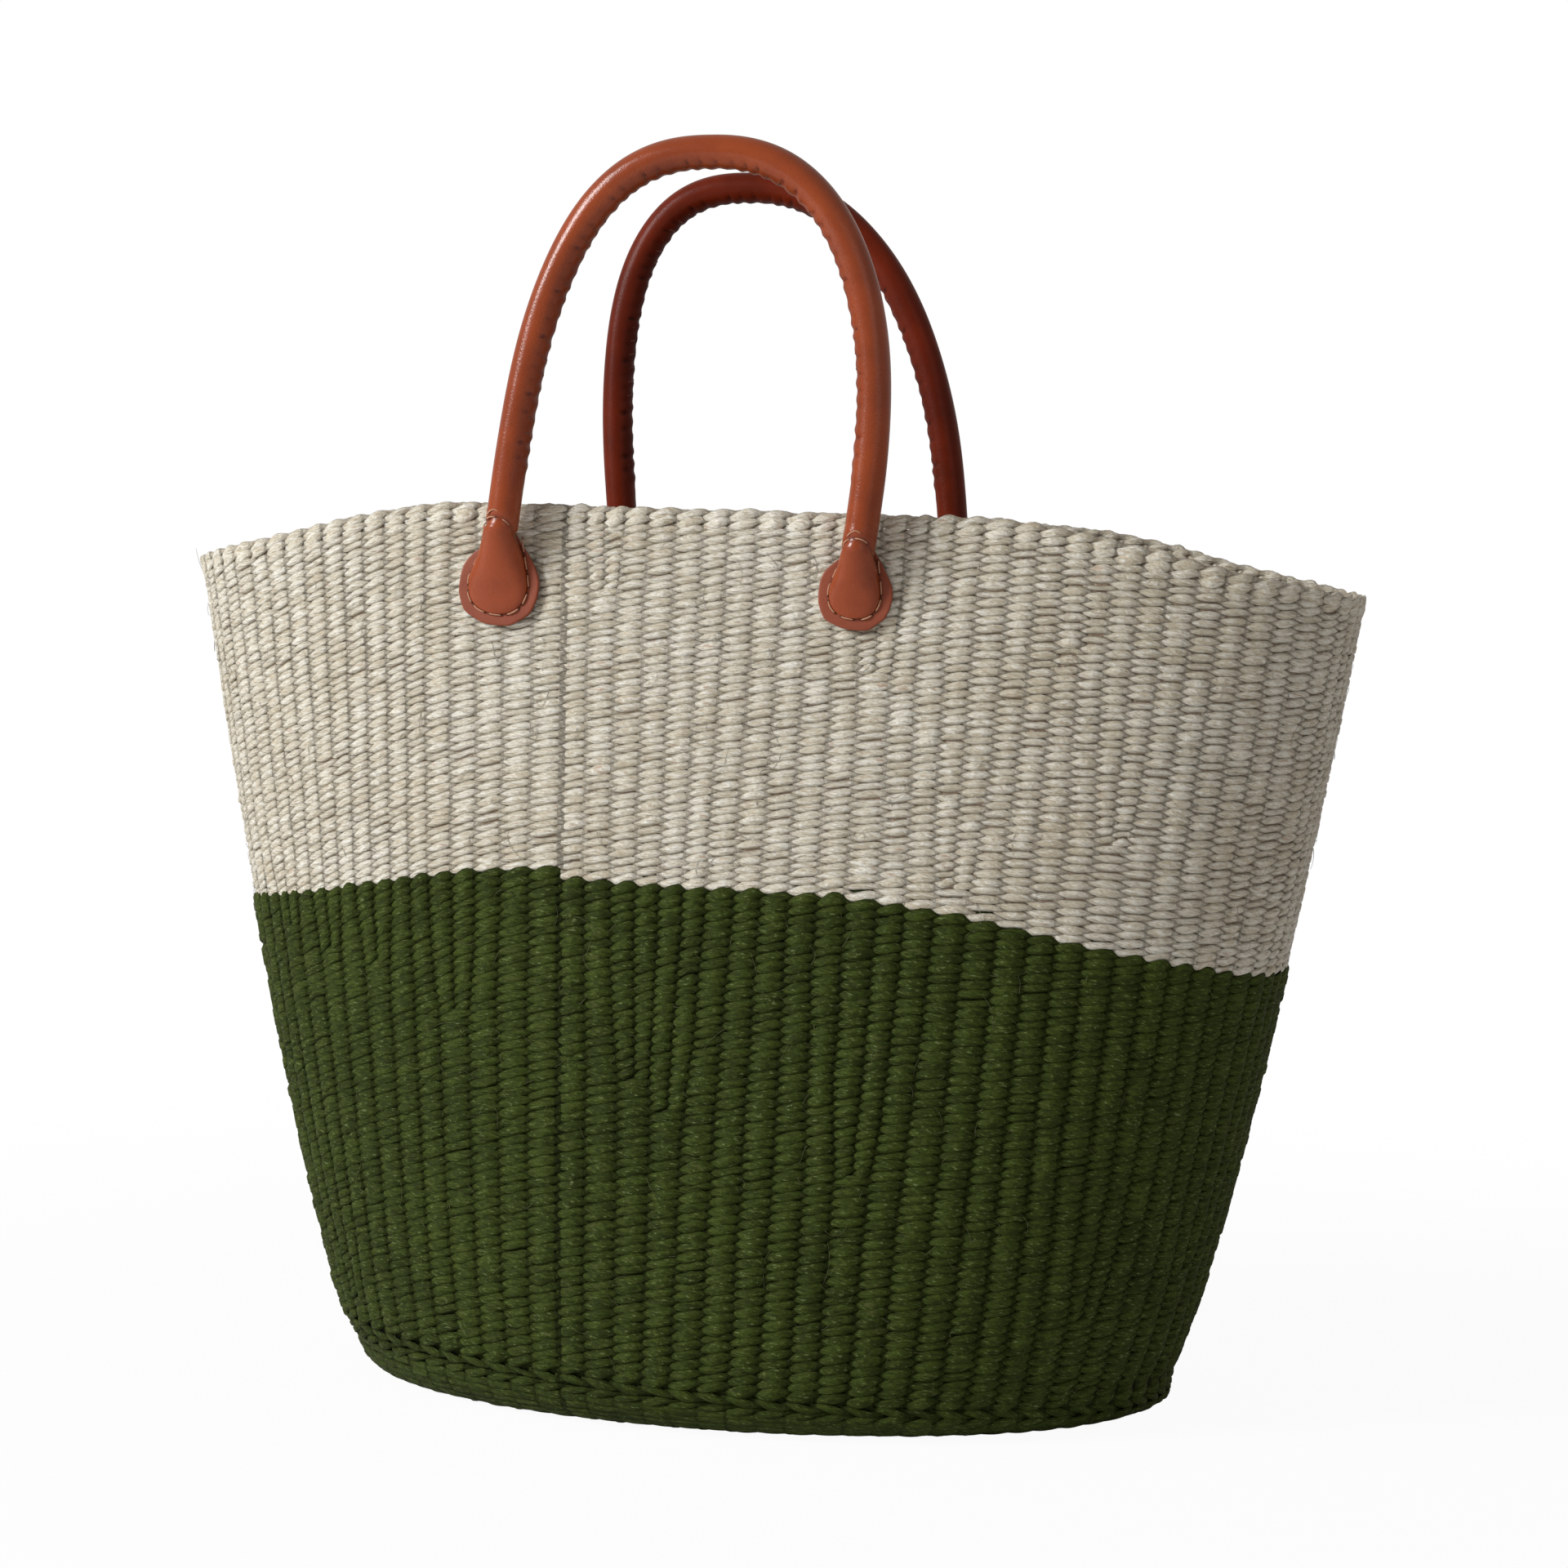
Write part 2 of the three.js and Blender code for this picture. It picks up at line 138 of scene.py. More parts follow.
def oval_size(level):
    """Half width, half depth and squareness of the outline at a level from base to rim."""
    half_width = lerp(base_half_width, mouth_half_width, level**flare_curve)
    half_depth = lerp(base_half_depth, mouth_half_depth, level)
    return half_width, half_depth, lerp(base_squareness, mouth_squareness, level)


def oval_point(turn, half_width, half_depth, squareness):
    across, along = np.cos(turn), np.sin(turn)
    power = 2.0 / squareness
    x = half_width * np.sign(across) * np.abs(across) ** power
    y = half_depth * np.sign(along) * np.abs(along) ** power
    return x, y


drop = height_of(rim_line, 0.0) - rim_height(mouth_half_width)
print("the rim drops by", round(drop / mm, 1), "mm towards its right end")


# %% Even steps round an oval
oval_samples = 4097
table_levels = 24
table_shares = 1024


def even_turns(half_width, half_depth, squareness, shares):
    """The angles that cut an oval into these shares of its length."""
    turns = np.linspace(0.0, 2.0 * math.pi, oval_samples)
    x, y = oval_point(turns, half_width, half_depth, squareness)
    length = np.concatenate([[0.0], np.cumsum(np.hypot(np.diff(x), np.diff(y)))])
    return np.interp(shares, length / length[-1], turns)


turn_table = np.array(
    [
        even_turns(*oval_size(k / table_levels), np.linspace(0, 1, table_shares + 1))
        for k in range(table_levels + 1)
    ]
)


def turn_at(level, rounds):
    """The angle on the outline at a level for a share of the way round, read from the table."""
    whole = np.floor(rounds)
    column = (rounds - whole) * table_shares
    row = np.clip(level * table_levels, 0, table_levels - 1e-6)
    c0, r0 = np.floor(column).astype(int), np.floor(row).astype(int)
    c1 = np.minimum(c0 + 1, table_shares)
    across, up = column - c0, row - r0
    low = lerp(turn_table[r0, c0], turn_table[r0, c1], across)
    high = lerp(turn_table[r0 + 1, c0], turn_table[r0 + 1, c1], across)
    return lerp(low, high, up) + 2.0 * math.pi * whole


# %% Points of the wall
def wall_points(rounds, height_at, inset):
    """Points of the wall, inset from its outer face, where height_at gives z over X."""
    rounds = np.asarray(rounds, float)
    z = height_at(0.0) + 0.0 * rounds
    for _ in range(2):
        level = level_at(z)
        half_width, half_depth, squareness = oval_size(level)
        turn = turn_at(level, rounds)
        flare = end_flare * smoothstep(level, *end_flare_levels) * np.cos(turn) ** 4
        x, y = oval_point(turn, half_width - inset + flare, half_depth - inset, squareness)
        z = height_at(x)
    return np.stack([x, y, z], axis=-1)


edge = wall_points(np.linspace(0, 1, 9), lambda x: height_of(rim_line, x), 0.0)
print("rim from right end to right end, in mm:")
print((edge / mm).round(1).tolist())

# %% [markdown]
# ## Tubes laid by a function
#
# A yarn, a rope, a stitch and a handle are all tubes that follow a path. Each starts as a
# straight cylinder, one unit in radius, whose long edges are subdivided into rings. Then its
# points are moved: the height of a point in the straight tube says which ring it is in, and
# its place on the circle says which side of the yarn it is on. A curve with a round bevel
# would do for plain cords, but a yarn that is squeezed flat between its neighbours needs
# another section at every ring.

# %% From a bmesh to a piece
weld_distance = 0.02 * mm


def make_piece(name, work, mesh=None):
    """Turns a bmesh into a smooth piece that stands in the scene, at the origin."""
    mesh = bpy.data.meshes.new(name) if mesh is None else mesh
    work.to_mesh(mesh)
    work.free()
    mesh.shade_smooth()
    mesh.name = name
    piece = bpy.data.objects.new(name, mesh)
    bpy.context.scene.collection.objects.link(piece)
    return piece


def close_tubes(name, mesh, end_points=()):
    """Welds the ends of closed tubes, turns all faces outwards and makes the piece."""
    work = bmesh.new()
    work.from_mesh(mesh)
    work.verts.ensure_lookup_table()
    ends = [work.verts[k] for k in end_points]
    if ends:
        bmesh.ops.remove_doubles(work, verts=ends, dist=weld_distance)
    bmesh.ops.recalc_face_normals(work, faces=work.faces)
    return make_piece(name, work, mesh)


def store(mesh, name, numbers):
    """Gives each point of a mesh a number that a material can read."""
    mesh.attributes.new(name, "FLOAT", "POINT").data.foreach_set("value", numbers)


# %% Straight tubes, cut into rings
tube_spacing = 4.0


def straight_tubes(ring_counts, sides, capped):
    """A mesh of straight tubes side by side along X, the block of points of each, and them."""
    work = bmesh.new()
    blocks = []
    for number, rings in enumerate(ring_counts):
        first_point, first_edge = len(work.verts), len(work.edges)
        bmesh.ops.create_cone(
            work,
            cap_ends=capped,
            cap_tris=False,
            segments=sides,
            radius1=1.0,
            radius2=1.0,
            depth=2.0,
            matrix=Matrix.Translation((number * tube_spacing, 0.0, 0.0)),
        )
        work.edges.ensure_lookup_table()
        new_edges = [work.edges[k] for k in range(first_edge, len(work.edges))]
        long_edges = [e for e in new_edges if abs(e.verts[0].co.z - e.verts[1].co.z) > 1.0]
        if rings > 2:
            bmesh.ops.subdivide_edges(work, edges=long_edges, cuts=rings - 2)
        blocks.append(slice(first_point, len(work.verts)))
    mesh = bpy.data.meshes.new("tubes")
    work.to_mesh(mesh)
    work.free()
    points = np.empty(len(mesh.vertices) * 3)
    mesh.vertices.foreach_get("co", points)
    return mesh, blocks, points.reshape(-1, 3)


# %% Tubes on their paths
fibre_twist = 7 * mm


class Tube:
    """The path and the section of one tube. Ring by ring: its middle, the directions of its
    section, the half sizes along them, and the values that the material reads."""

    def __init__(self, middles, outwards, upwards, half_out, half_up, closed=False, **values):
        self.middles = np.asarray(middles)
        self.outwards = np.asarray(outwards)
        self.upwards = np.asarray(upwards)
        count = len(self.middles)
        self.half_out = np.broadcast_to(half_out, count)
        self.half_up = np.broadcast_to(half_up, count)
        self.closed = closed
        self.along = length_along(self.middles)
        self.values = {name: np.broadcast_to(v, count) for name, v in values.items()}

    def place(self, ring, out, up):
        reach_out = (self.half_out[ring] * out)[:, None] * self.outwards[ring]
        reach_up = (self.half_up[ring] * up)[:, None] * self.upwards[ring]
        return self.middles[ring] + reach_out + reach_up


def lay_tubes(name, tubes, sides, capped=False):
    """Moves straight tubes onto their paths, welds the closed ones and makes the piece."""
    ring_counts = [len(tube.middles) for tube in tubes]
    mesh, blocks, straight = straight_tubes(ring_counts, sides, capped)
    laid = np.empty_like(straight)
    yarn = np.empty_like(straight)
    values = {name: np.empty(len(straight)) for name in tubes[0].values}
    open_ends = np.zeros(len(straight), bool)
    for number, (tube, block) in enumerate(zip(tubes, blocks)):
        out, up = straight[block, 0] - number * tube_spacing, straight[block, 1]
        last = len(tube.middles) - 1
        ring = np.rint((straight[block, 2] + 1.0) / 2.0 * last).astype(int)
        laid[block] = tube.place(ring, out, up)
        twist = tube.along[ring] / fibre_twist
        across, around = np.cos(twist), np.sin(twist)
        turned = [out * across - up * around, out * around + up * across]
        yarn[block] = np.stack([tube.along[ring] / mm, *turned], axis=-1)
        for value, numbers in values.items():
            numbers[block] = tube.values[value][ring]
        if tube.closed:
            open_ends[block] = (ring == 0) | (ring == last)
    mesh.vertices.foreach_set("co", laid.ravel())
    mesh.attributes.new("yarn", "FLOAT_VECTOR", "POINT").data.foreach_set("vector", yarn.ravel())
    for value, numbers in values.items():
        store(mesh, value, numbers)
    piece = close_tubes(name, mesh, np.flatnonzero(open_ends))
    triangles = sum(len(face.vertices) - 2 for face in mesh.polygons)
    print(f"{name}: {len(tubes)} tubes, {triangles} triangles")
    return piece


# %% [markdown]
# ## Where the warps stand
#
# The bag widens upwards, so its maker adds warps on the way, each beside one whose rib has
# grown too wide. The script works the same way, row by row. A wide rib splits into two, which
# grow for a few rows, and every edge of a rib drifts towards the place that shares the room
# fairly between its two sides. One edge stays where it is: the yarns change colour there.

# %% Warps and their places
chance = np.random.default_rng(20)
olive_rows = 52
natural_rows = 43
wall_rows = olive_rows + natural_rows
base_warps = 80
rim_warps = 114
warp_growth = 0.9  # below 1, more of the new warps are added low on the bag
width_spread = 0.07
room_spread = (0.75, 1.25)  # so that chance has a say in which rib splits
new_width = 0.55
widening = 0.09
settling = 0.25
warp_drift = 0.14 * mm
change_x = -52 * mm

front_shares = np.linspace(0.5, 1.0, 401)
front_x = wall_points(front_shares, lambda x: height_of(colour_line, x), 0.0)[:, 0]
change_share = np.interp(change_x, front_x, front_shares)


def round_length(level):
    x, y = oval_point(np.linspace(0, 2 * math.pi, 721), *oval_size(level))
    return np.hypot(np.diff(x), np.diff(y)).sum()


edges = np.linspace(0.0, 1.0, base_warps + 1)
widths = np.ones(base_warps)
full_widths = chance.normal(1.0, width_spread, base_warps)
names = np.arange(base_warps)
rib_edges = []
warp_paths = {}
for number in range(wall_rows):
    level = (number + 0.5) / wall_rows
    wanted = round(lerp(base_warps, rim_warps, level**warp_growth))
    while len(widths) < wanted:
        room = np.diff(edges)[1:-1] * chance.uniform(*room_spread, len(widths) - 2)
        place = int(np.argmax(room)) + 2
        edges = np.insert(edges, place, (edges[place - 1] + edges[place]) / 2)
        widths[place - 1] = new_width
        widths = np.insert(widths, place, new_width)
        full_widths = np.insert(full_widths, place, chance.normal(1.0, width_spread))
        names = np.insert(names, place, len(names))
    widths = np.minimum(widths + widening, full_widths)
    fair = lerp(edges[:-2], edges[2:], widths[:-1] / (widths[:-1] + widths[1:]))
    nudges = chance.normal(0.0, warp_drift, len(fair)) / round_length(level)
    edges[1:-1] += settling * (fair - edges[1:-1]) + nudges
    rib_edges.append(edges + change_share)
    for name, left, right in zip(names, rib_edges[-1], rib_edges[-1][1:]):
        warp_paths.setdefault(name, []).append((number, (left + right) / 2, right - left))
    if number % 23 == 0:
        print("row", number, "has", len(widths), "ribs")


# %% Waves in the rows
def ripple(rounds, level, waves):
    """A gentle irregular wave over the wall, the same after a full round."""
    total = 0.0
    for turns, rise, phase in waves:
        total = total + np.sin(2.0 * math.pi * (turns * rounds + rise * level + phase))
    return total / len(waves)


def some_waves(count, most_turns, most_rise):
    turns = chance.integers(2, most_turns, count)
    rises = chance.uniform(-most_rise, most_rise, count)
    return list(zip(turns, rises, chance.uniform(0, 1, count)))


row_waves = some_waves(9, 15, 2.5)
print(len(row_waves), "waves, with so many turns:", sorted(int(wave[0]) for wave in row_waves))

# %% [markdown]
# ## One row of twining
#
# Two yarns run round the bag. Over one warp the first yarn is outside and the second inside,
# and over the next warp they have changed places, each crossing between the warps. Seen from
# outside, each crossing gives a stitch that comes out low on the left, swells over the warp
# and dives in high on the right. A cosine moves each yarn out and in, a sine lifts it, and the
# yarn is fat where it lies over a warp and squeezed slim where the two cross.

# %% Twine a row
rib_steps = np.array([0.0, 0.13, 0.31, 0.5, 0.69, 0.87])
yarn_sides = 6
stitch_rise = 0.24  # of the pitch of the rows, from the middle of a stitch to its end
dived_half_depth = 0.7 * mm
stitch_half_depth = 0.9 * mm
swell_start, swell_power = 0.15, 1.15
size_spread, drift_spread, bulge_spread, lean_spread = 0.11, 0.08, 0.10, 0.22
thin_size = 0.74


class Row:
    """A row: points_at(rounds, rise) gives its middle, or a point so far above it."""

    slant = 1.0  # how steep the stitches are
    reach = 1.8 * mm  # how far they reach out of the fabric
    overlap = 0.35  # by how much they overlap the next ones
    dive = 0.8  # how steeply they dive between the warps, steeper below 1
    slim = 0.27  # half height of a yarn where it dives, as a share of the pitch of the rows
    full = 0.85  # and in the middle of a stitch
    thin_share = 0.0  # share of thin stitches, which leave a slit

    def __init__(self, points_at, edges, pitch, **style):
        self.points_at = points_at
        self.edges = edges
        self.pitch = pitch
        for name, value in style.items():
            setattr(self, name, value)
        ribs = len(edges) - 1
        wide = np.clip(0.5 + 0.5 * np.diff(edges) * ribs, 0.0, 1.0)
        thin = chance.random((2, ribs)) < self.thin_share
        self.size = chance.normal(1.0, size_spread, (2, ribs)) * np.where(thin, thin_size, 1.0)
        self.drift = chance.normal(0.0, drift_spread, (2, ribs))
        self.bulge = chance.normal(1.0, bulge_spread, (2, ribs)) * wide
        self.lean = chance.normal(1.0, lean_spread, (2, ribs))
        self.tone = chance.uniform(0.0, 1.0, (2, ribs))

    def frames(self, rounds):
        nudge, rise = 2e-4, 0.4 * mm
        middle = self.points_at(rounds, 0.0)
        along = self.points_at(rounds + nudge, 0.0) - self.points_at(rounds - nudge, 0.0)
        up = self.points_at(rounds, rise) - self.points_at(rounds, -rise)
        along = unit(along)
        out = unit(np.cross(along, up))
        return middle, out, np.cross(out, along)

    def strand(self, which, first, count):
        """One of the two yarns, over count ribs from the first one."""
        ribs = len(self.edges) - 1
        places = np.append((np.arange(count)[:, None] + rib_steps).ravel(), float(count)) + first
        rib = np.floor(places + 1e-9).astype(int)
        inside = places - rib
        low = self.edges[rib % ribs] + rib // ribs
        high = self.edges[rib % ribs + 1] + rib // ribs
        rounds = lerp(low, high, inside)
        middle, out, up = self.frames(rounds)
        turn = math.pi * (places - 0.5 + which)
        over = (np.cos(turn) + self.overlap) / (1.0 + self.overlap)
        behind = (1.0 + self.overlap) / (1.0 - self.overlap)
        cover = np.where(over > 0.0, over, -over * behind)
        middle_share = np.abs(np.cos(turn))
        hold = rib % ribs
        swell = lerp(1.0, self.size[which, hold], middle_share)
        bulge = lerp(1.0, self.bulge[which, hold], middle_share)
        drift = self.drift[which, hold] * middle_share * self.pitch
        lean = lerp(1.0, self.lean[which, hold], middle_share)
        away = self.reach * np.sign(over) * cover**self.dive * bulge
        lift = self.slant * lean * stitch_rise * self.pitch * np.sin(turn) + drift
        swollen = np.clip((cover - swell_start) / (1.0 - swell_start), 0.0, 1.0) ** swell_power
        half_up = lerp(self.slim, self.full, swollen) * self.pitch * swell
        half_out = lerp(dived_half_depth, stitch_half_depth, cover) * swell
        return Tube(
            middle + out * away[:, None] + up * lift[:, None],
            out,
            up,
            half_out,
            half_up,
            closed=count == ribs,
            tone=self.tone[which, hold],
            # depth drives the painted shade that the material puts where the yarn dives.
            depth=cover,
        )

    def strands(self, first=0, count=None):
        ribs = len(self.edges) - 1
        count = ribs if count is None else count
        return [self.strand(which, first, count) for which in (0, 1)]


# %% [markdown]
# ## The wall
#
# The maker works in one long spiral. It climbs a single row in a full round, which can't be
# seen, so each row here is a closed ring, but for the one at the border between the colours.
# There the dyed yarns end on the front, left of the middle, and the natural ones take over.
# That leaves a small step in the border. A piece holds about ten rows, so that it stays light.

# %% Rows of the wall
row_ripple = 0.45 * mm
wall_foot = bead_height / 2
rear_middle = 0.25  # share of the way round from the right end
pieces_of_colour = 5
wall_style = {"overlap": 0.5, "dive": 0.9, "slim": 0.25, "full": 0.76, "thin_share": 0.1}
olive_style = {**wall_style, "slant": 1.2, "reach": 2.2 * mm}
natural_style = {
    **wall_style,
    "reach": 1.25 * mm,
    "overlap": 0.62,
    "dive": 0.45,
    "slim": 0.21,
    "full": 0.63,
}


def row_height(row, x):
    """Height of the weave over x after so many rows, counted from the bead row."""
    foot = height_of(bead_line, x) + wall_foot
    border = height_of(colour_line, x)
    top = rim_height(x) - braid_height
    if row < olive_rows:
        return lerp(foot, border, row / olive_rows)
    return lerp(border, top, (row - olive_rows) / natural_rows)


def wall_row(number, style):
    level = (number + 0.5) / wall_rows

    def points_at(rounds, rise):
        wave = row_ripple * ripple(rounds, level * 2.0, row_waves) * math.sin(math.pi * level)
        height_at = lambda x: row_height(number + 0.5, x) + rise + wave
        return wall_points(rounds, height_at, fabric_middle)

    pitch = row_height(number + 1.0, 0.0) - row_height(float(number), 0.0)
    return Row(points_at, rib_edges[number], pitch, **style)


# %% Lay the wall
olive_tubes = [[] for _ in range(pieces_of_colour)]
natural_tubes = [[] for _ in range(pieces_of_colour)]
for number in range(wall_rows):
    if number < olive_rows - 1:
        part = number * pieces_of_colour // olive_rows
        olive_tubes[part] += wall_row(number, olive_style).strands()
    elif number < olive_rows:
        row = wall_row(number, olive_style)
        change = int(np.searchsorted(row.edges, rear_middle + 1.0))
        natural_tubes[0] += wall_row(number, natural_style).strands(0, change)
        olive_tubes[-1] += row.strands(change, len(row.edges) - 1 - change)
    else:
        part = (number - olive_rows) * pieces_of_colour // natural_rows
        natural_tubes[part] += wall_row(number, natural_style).strands()


def lay_parts(name, parts):
    return [lay_tubes(f"{name}_{k + 1}", tubes, yarn_sides) for k, tubes in enumerate(parts)]


olive_weave = lay_parts("olive_weave", olive_tubes)
natural_weave = lay_parts("natural_weave", natural_tubes)

# %% [markdown]
# The warps themselves are flat bundles of fibre in the middle of the fabric. They show only
# through the slits between the stitches, which would let daylight through without them.

# %% Warps in the wall
warp_step = 3  # rows between two rings of a warp
warp_half_depth = 0.75 * mm
warp_fill = 0.49
# The warps take the full painted shade of the hollows in the material.
warp_depth = -0.2  # for the material: deeper than any place of a yarn that shows
rows_past_foot = 1.5
rows_past_top = 1.0
beside_share = 1e-3


def warp_points(heights, rounds):
    """Points in the middle of the fabric, after so many rows and so far round."""
    points = [
        wall_points([share], lambda x, row=row: row_height(row, x), fabric_middle)
        for row, share in zip(heights, rounds)
    ]
    return np.concatenate(points)


def warp_tubes(first_row, end_row):
    tubes = []
    for path in warp_paths.values():
        path = [place for place in path if first_row <= place[0] < end_row]
        path = path[::warp_step] + path[-1:]
        if len(path) < 3:
            continue
        rows, rounds, shares = np.array(path).T
        heights = rows + 0.5
        heights[0] -= rows_past_foot * (rows[0] == 0)
        heights[-1] += rows_past_top
        middles = warp_points(heights, rounds)
        beside = warp_points(heights, rounds + beside_share)
        along = unit(np.gradient(middles, axis=0))
        outwards = unit(np.cross(unit(beside - middles), along))
        upwards = np.cross(outwards, along)
        half = shares * round_length(rows.mean() / wall_rows) * warp_fill
        values = {"tone": 0.5, "depth": warp_depth}
        tubes.append(Tube(middles, outwards, upwards, warp_half_depth, half, **values))
    return tubes


def lay_warps(name, first_row, end_row):
    return lay_tubes(name, warp_tubes(first_row, end_row), yarn_sides, capped=True)


olive_warps = lay_warps("olive_warps", 0, olive_rows)
natural_warps = lay_warps("natural_warps", olive_rows, wall_rows)

# %% [markdown]
# ## Bead row and base
#
# Where the wall meets the base, one row is twined the other way round. With the row below it,
# its stitches make a line of small arrows. Below them the fabric turns under the bag. That
# edge is rubbed smooth, so its rows are packed close and hardly show any ribs. The rows under
# the bag are ovals that shrink towards the middle, down to a long narrow loop round the flat
# bundle of fibre that the weaving starts from.

# %% Bead row
base_edges = rib_edges[0]
arrow_pitch = 2.9 * mm
bead_bulge = 0.5 * mm


def bead_points(rounds, rise):
    return wall_points(rounds, lambda x: height_of(bead_line, x) + rise, fabric_middle - bead_bulge)


arrow_style = {"slant": 1.1, "reach": 1.3 * mm, "slim": 0.3, "full": 0.6}
bead = Row(bead_points, base_edges, arrow_pitch, **{**arrow_style, "slant": -1.1})
bead_row = lay_tubes("bead_row", bead.strands(), yarn_sides)

# %% Rows of the base
base_pitch = 3.1 * mm
base_rib = 10.3 * mm
edge_rows = 7
first_edge_row = 0.6  # in rows below the bead row
flat_reach = 1.2 * mm
fewest_ribs = 12
least_half_depth = 1.5 * mm  # of a row on the flat of the base
smooth_style = {
    "slant": 0.2,
    "reach": 0.9 * mm,
    "overlap": 0.9,
    "dive": 0.2,
    "slim": 0.45,
    "full": 0.6,
}


def edge_row(number):
    """A row on the rounded edge of the base, counted down from the bead row."""

    def points_at(rounds, rise):
        arc = (number + first_edge_row) * base_pitch - rise
        turn = math.pi / 2.0 * (1.0 - arc / (edge_rows * base_pitch + base_pitch / 2.0))
        inset = fabric_middle + base_edge_radius * (1.0 - math.sin(turn))
        top = lambda x: height_of(bead_line, x) - bead_height / 2
        rise_share = 1.0 - math.cos(turn)
        return wall_points(rounds, lambda x: lerp(fabric_middle, top(x), rise_share), inset)

    if number == 0:
        return Row(points_at, base_edges, arrow_pitch, **arrow_style)
    return Row(points_at, base_edges, base_pitch, **smooth_style)


def flat_row(inset):
    """A row on the flat of the base, inset from the outline of its foot."""
    half_width, half_depth = base_half_width - inset, base_half_depth - inset
    way_round = 2.0 * math.pi * math.sqrt((half_width**2 + half_depth**2) / 2.0)
    ribs = max(fewest_ribs, round(way_round / base_rib))

    def points_at(rounds, rise):
        wide, deep_tone_and_hollow_shade = half_width + rise, half_depth + rise
        turn = even_turns(wide, deep_tone_and_hollow_shade, base_squareness, rounds % 1.0)
        x, y = oval_point(turn, wide, deep_tone_and_hollow_shade, base_squareness)
        return np.stack([x, y, np.full_like(x, fabric_middle)], axis=-1)

    return Row(points_at, np.linspace(0.0, 1.0, ribs + 1), base_pitch, reach=flat_reach)


edge_tubes = [tube for number in range(edge_rows) for tube in edge_row(number).strands()]
base_edge = lay_tubes("base_edge_weave", edge_tubes, yarn_sides)
first_inset, last_inset = base_edge_radius + base_pitch, base_half_depth - least_half_depth
insets = np.arange(first_inset, last_inset, base_pitch)
flat_tubes = [tube for inset in insets for tube in flat_row(inset).strands()]
base_flat = lay_tubes("base_flat_weave", flat_tubes, yarn_sides)

# %% The bundle that the base starts from
start_rings = 12
start_half_length = base_half_width - insets[-1] + base_pitch
start_half_height = 1.0 * mm
start_half_width = 3.0 * mm
start_end = np.array([start_half_length, 0.0, 0.0])
start_middle = np.array([0.0, 0.0, fabric_middle])
start_bundle = Tube(
    np.linspace(start_middle - start_end, start_middle + start_end, start_rings),
    np.tile((0.0, 0.0, 1.0), (start_rings, 1)),
    np.tile((0.0, 1.0, 0.0), (start_rings, 1)),
    start_half_height,
    start_half_width,
    tone=0.5,
    depth=0.5,
)
base_start = lay_tubes("base_start_bundle", [start_bundle], yarn_sides, capped=True)

# %% [markdown]
# ## The rim
#
# The ends of the warps are bent over and plaited into each other, which leaves a rolled edge
# with one rounded bump to a warp. From outside it looks like two more rows of twining with
# fatter yarns, so that is how it is made, on the same ribs as the row below.

# %% Rim rows
rim_slant = 1.3
rim_yarn_sides = 8


def rim_row(below, pitch, **style):
    def points_at(rounds, rise):
        return wall_points(rounds, lambda x: rim_height(x) - below + rise, fabric_middle)

    return Row(points_at, rib_edges[-1], pitch, slant=rim_slant, **style)


lower_rim = rim_row(4.9 * mm, 3.2 * mm, reach=1.5 * mm, slim=0.2, full=0.75).strands()
upper_rim = rim_row(2.1 * mm, 3.3 * mm, reach=1.3 * mm, slim=0.3, full=0.62).strands()
rim_braid = lay_tubes("rim_braid_yarns", lower_rim + upper_rim, rim_yarn_sides)

# %% [markdown]
# ## Stray fibres
#
# Sisal sheds. Here and there the end of a fibre has worked its way out of a yarn and curls
# over the weave. Each is a thin tube that leaves the wall at one end and bends as it goes.

# %% Stray fibres
fibre_radius = 0.11 * mm
fibre_lengths = (4.0, 18.0)  # shortest and longest, in mm
fibre_lifts = (0.3, 2.5)
fibre_rings = 10
fibre_bend = 1.6
fibre_curl = 0.5
fibre_wave = 5.0  # how far the wave of the curl runs over a fibre, in radians
fibre_droop = 1.4  # below 2, a fibre comes back towards the wall at its end
fibre_tip = 0.5
fibre_root = 0.4 * mm  # how deep the fibre starts in the yarn
yarn_face = 2.1 * mm  # from the middle of the fabric
fibre_heights = (0.03, 0.97)


def stray_fibre(rounds, z, length, lift):
    """A hair that starts on the wall at a share of the way round and a height."""
    share = np.linspace(0.0, 1.0, fibre_rings)
    turn = chance.uniform(0.0, 2.0 * math.pi) + chance.normal(0.0, fibre_bend) * share
    turn = turn + chance.normal(0.0, fibre_curl) * np.sin(fibre_wave * share)
    step = length / len(share)
    sideways = np.cumsum(np.cos(turn)) * step / round_length(level_at(z))
    upwards = np.cumsum(np.sin(turn)) * step
    away = lift * share * (fibre_droop - share) - fibre_root
    points = np.concatenate(
        [
            wall_points([rounds + s], lambda x, u=u: z + u + 0.0 * x, fabric_middle - yarn_face - a)
            for s, u, a in zip(sideways, upwards, away)
        ]
    )
    path = unit(np.gradient(points, axis=0))
    aside = unit(np.cross(path, points - np.array([0.0, 0.0, z])))
    radius = fibre_radius * lerp(1.0, fibre_tip, share)
    return Tube(points, aside, np.cross(path, aside), radius, radius, tone=0.9, depth=1.0)


def stray_fibres(name, count, low_line, high_line):
    tubes = []
    for _ in range(count):
        rounds = chance.uniform(0.0, 1.0)
        x = wall_points([rounds], lambda x: height_of(colour_line, x), 0.0)[0, 0]
        top = min(height_of(high_line, x), rim_height(x) - braid_height)
        z = lerp(height_of(low_line, x), top, chance.uniform(*fibre_heights))
        length = chance.uniform(*fibre_lengths) * mm
        tubes.append(stray_fibre(rounds, z, length, chance.uniform(*fibre_lifts) * mm))
    return lay_tubes(name, tubes, 4, capped=True)


olive_fibres = stray_fibres("olive_stray_fibres", 600, bead_line, colour_line)
natural_fibres = stray_fibres("natural_stray_fibres", 400, colour_line, rim_line)

